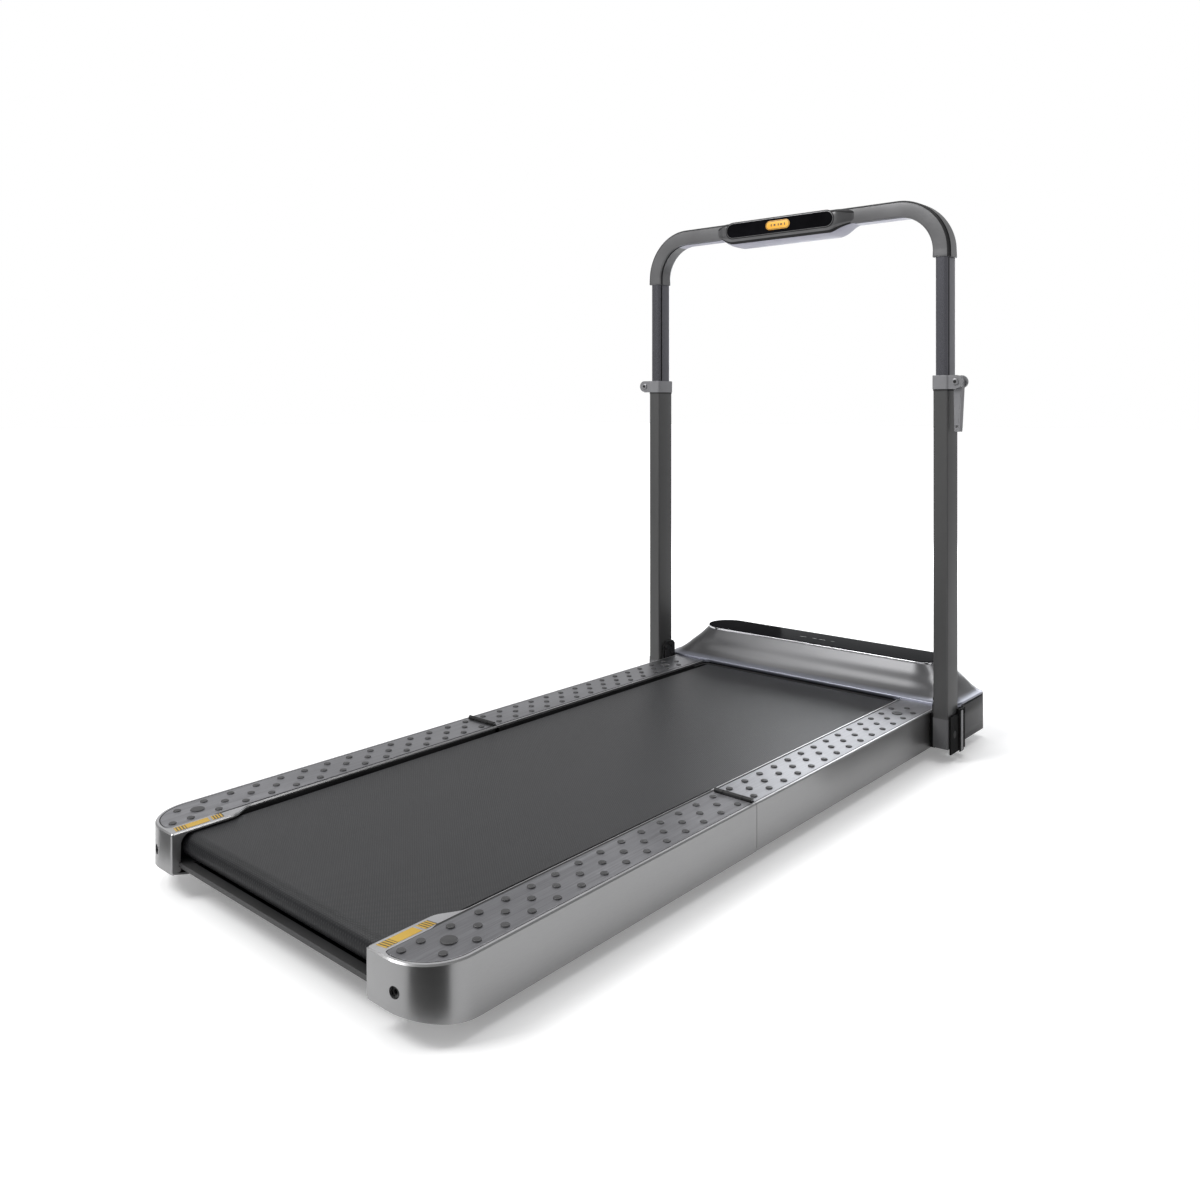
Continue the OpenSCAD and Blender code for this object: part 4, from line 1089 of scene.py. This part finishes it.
floor_mesh = bpy.data.meshes.new("floor")
floor_mesh.from_pydata([(-30, -30, 0), (30, -30, 0), (30, 30, 0), (-30, 30, 0)], [], [(0, 1, 2, 3)])
FLOOR = surface("floor_pale", (0.86, 0.86, 0.86), (0.88, 0.88, 0.88), (0.7, 0.8), blotch=2.0,
                grain=90.0, bump=0.0)
distance = FLOOR.tree.nodes.new("ShaderNodeVectorMath")
distance.operation = "LENGTH"
FLOOR.tree.links.new(FLOOR.coord, distance.inputs[0])
FLOOR.plug(FLOOR.shader.inputs["Emission Color"], (1.0, 1.0, 1.0, 1.0))
seen = FLOOR.tree.nodes.new("ShaderNodeLightPath").outputs["Is Camera Ray"]
glow = FLOOR.math("MULTIPLY", FLOOR.spread(distance.outputs["Value"], 0.22, 0.8, 0.7, 3.0), seen)
FLOOR.plug(FLOOR.shader.inputs["Emission Strength"], glow)
floor_mesh.materials.append(FLOOR.material)
floor = bpy.data.objects.new("floor", floor_mesh)
bpy.context.scene.collection.objects.link(floor)


def lamp(name, place, target, size, power, colour=(1, 1, 1)):
    data = bpy.data.lights.new(name, "AREA")
    data.shape = "RECTANGLE"
    data.size, data.size_y = size
    data.energy = power
    data.color = colour
    made = bpy.data.objects.new(name, data)
    bpy.context.scene.collection.objects.link(made)
    made.location = place
    made.rotation_euler = (Vector(target) - Vector(place)).to_track_quat("-Z", "Y").to_euler()


lamp("key", (-1.6, -2.6, 3.4), (0, 0, 0.3), (1.6, 1.6), 120)
lamp("hood_box", (-0.95, -0.5, 2.2), (0.1, 0.6, 0.12), (2.2, 0.5), 12)
lamp("back_box", (-0.6, 3.5, 1.0), (0.2, 0.3, 0.1), (2.2, 1.0), 26, (0.94, 0.97, 1.0))


def flag(name, place, facing, width, height):
    """A dark card that only shows in reflections, as a photographer would hold beside bright metal."""
    card = bpy.data.meshes.new(name)
    half = width / 2
    corners = [(-half, 0, 0), (half, 0, 0), (half, 0, height), (-half, 0, height)]
    card.from_pydata(corners, [], [(0, 1, 2, 3)])
    card.materials.append(BLACK.material)
    made = bpy.data.objects.new(name, card)
    bpy.context.scene.collection.objects.link(made)
    made.location = place
    made.rotation_euler = (0.0, 0.0, math.radians(facing))
    for ray in ("camera", "diffuse", "transmission", "shadow", "volume_scatter"):
        setattr(made, f"visible_{ray}", False)


flag("flag_corner", (0.33, -0.741, 0.002), 50.5, 0.13, 0.12)
flag("flag_left", (-0.34, -0.79, 0.004), -30.0, 0.09, 0.12)
flag("flag_side", (0.42, 0.42, 0.004), 90.0, 0.36, 0.07)
flag("flag_hood", (0.5, 0.75, 0.004), 60.0, 0.4, 0.2)
lamp("top_strip", (0.3, 0.9, 3.2), (0, 0.3, 0.2), (2.4, 0.7), 35)

world = bpy.data.worlds.new("studio")
world.use_nodes = True
bpy.context.scene.world = world
sky_tree = world.node_tree
sky = sky_tree.nodes["Background"]


def sky_colour():
    """A white room: bright near the horizon, darker overhead, and plain white as a backdrop."""
    coord = sky_tree.nodes.new("ShaderNodeTexCoord")
    split = sky_tree.nodes.new("ShaderNodeSeparateXYZ")
    sky_tree.links.new(coord.outputs["Generated"], split.inputs[0])
    ramp = sky_tree.nodes.new("ShaderNodeValToRGB")
    sky_tree.links.new(split.outputs[2], ramp.inputs[0])
    stops = [(0.0, 0.72), (0.25, 0.72), (0.45, 0.36), (0.75, 0.26), (1.0, 0.6)]
    ramp.color_ramp.elements[0].position = stops[0][0]
    ramp.color_ramp.elements[1].position = stops[-1][0]
    for place, _ in stops[1:-1]:
        ramp.color_ramp.elements.new(place)
    for element, (_, level) in zip(ramp.color_ramp.elements, stops):
        element.color = (level, level, level * 1.01, 1.0)
    path = sky_tree.nodes.new("ShaderNodeLightPath")
    mix = sky_tree.nodes.new("ShaderNodeMix")
    mix.data_type = "RGBA"
    sky_tree.links.new(path.outputs["Is Camera Ray"], mix.inputs[0])
    sky_tree.links.new(ramp.outputs[0], mix.inputs[6])
    mix.inputs[7].default_value = (1.0, 1.0, 1.0, 1.0)
    sky_tree.links.new(mix.outputs[2], sky.inputs["Color"])


sky_colour()
sky.inputs["Strength"].default_value = 1.0
bpy.context.scene.view_settings.view_transform = "Standard"
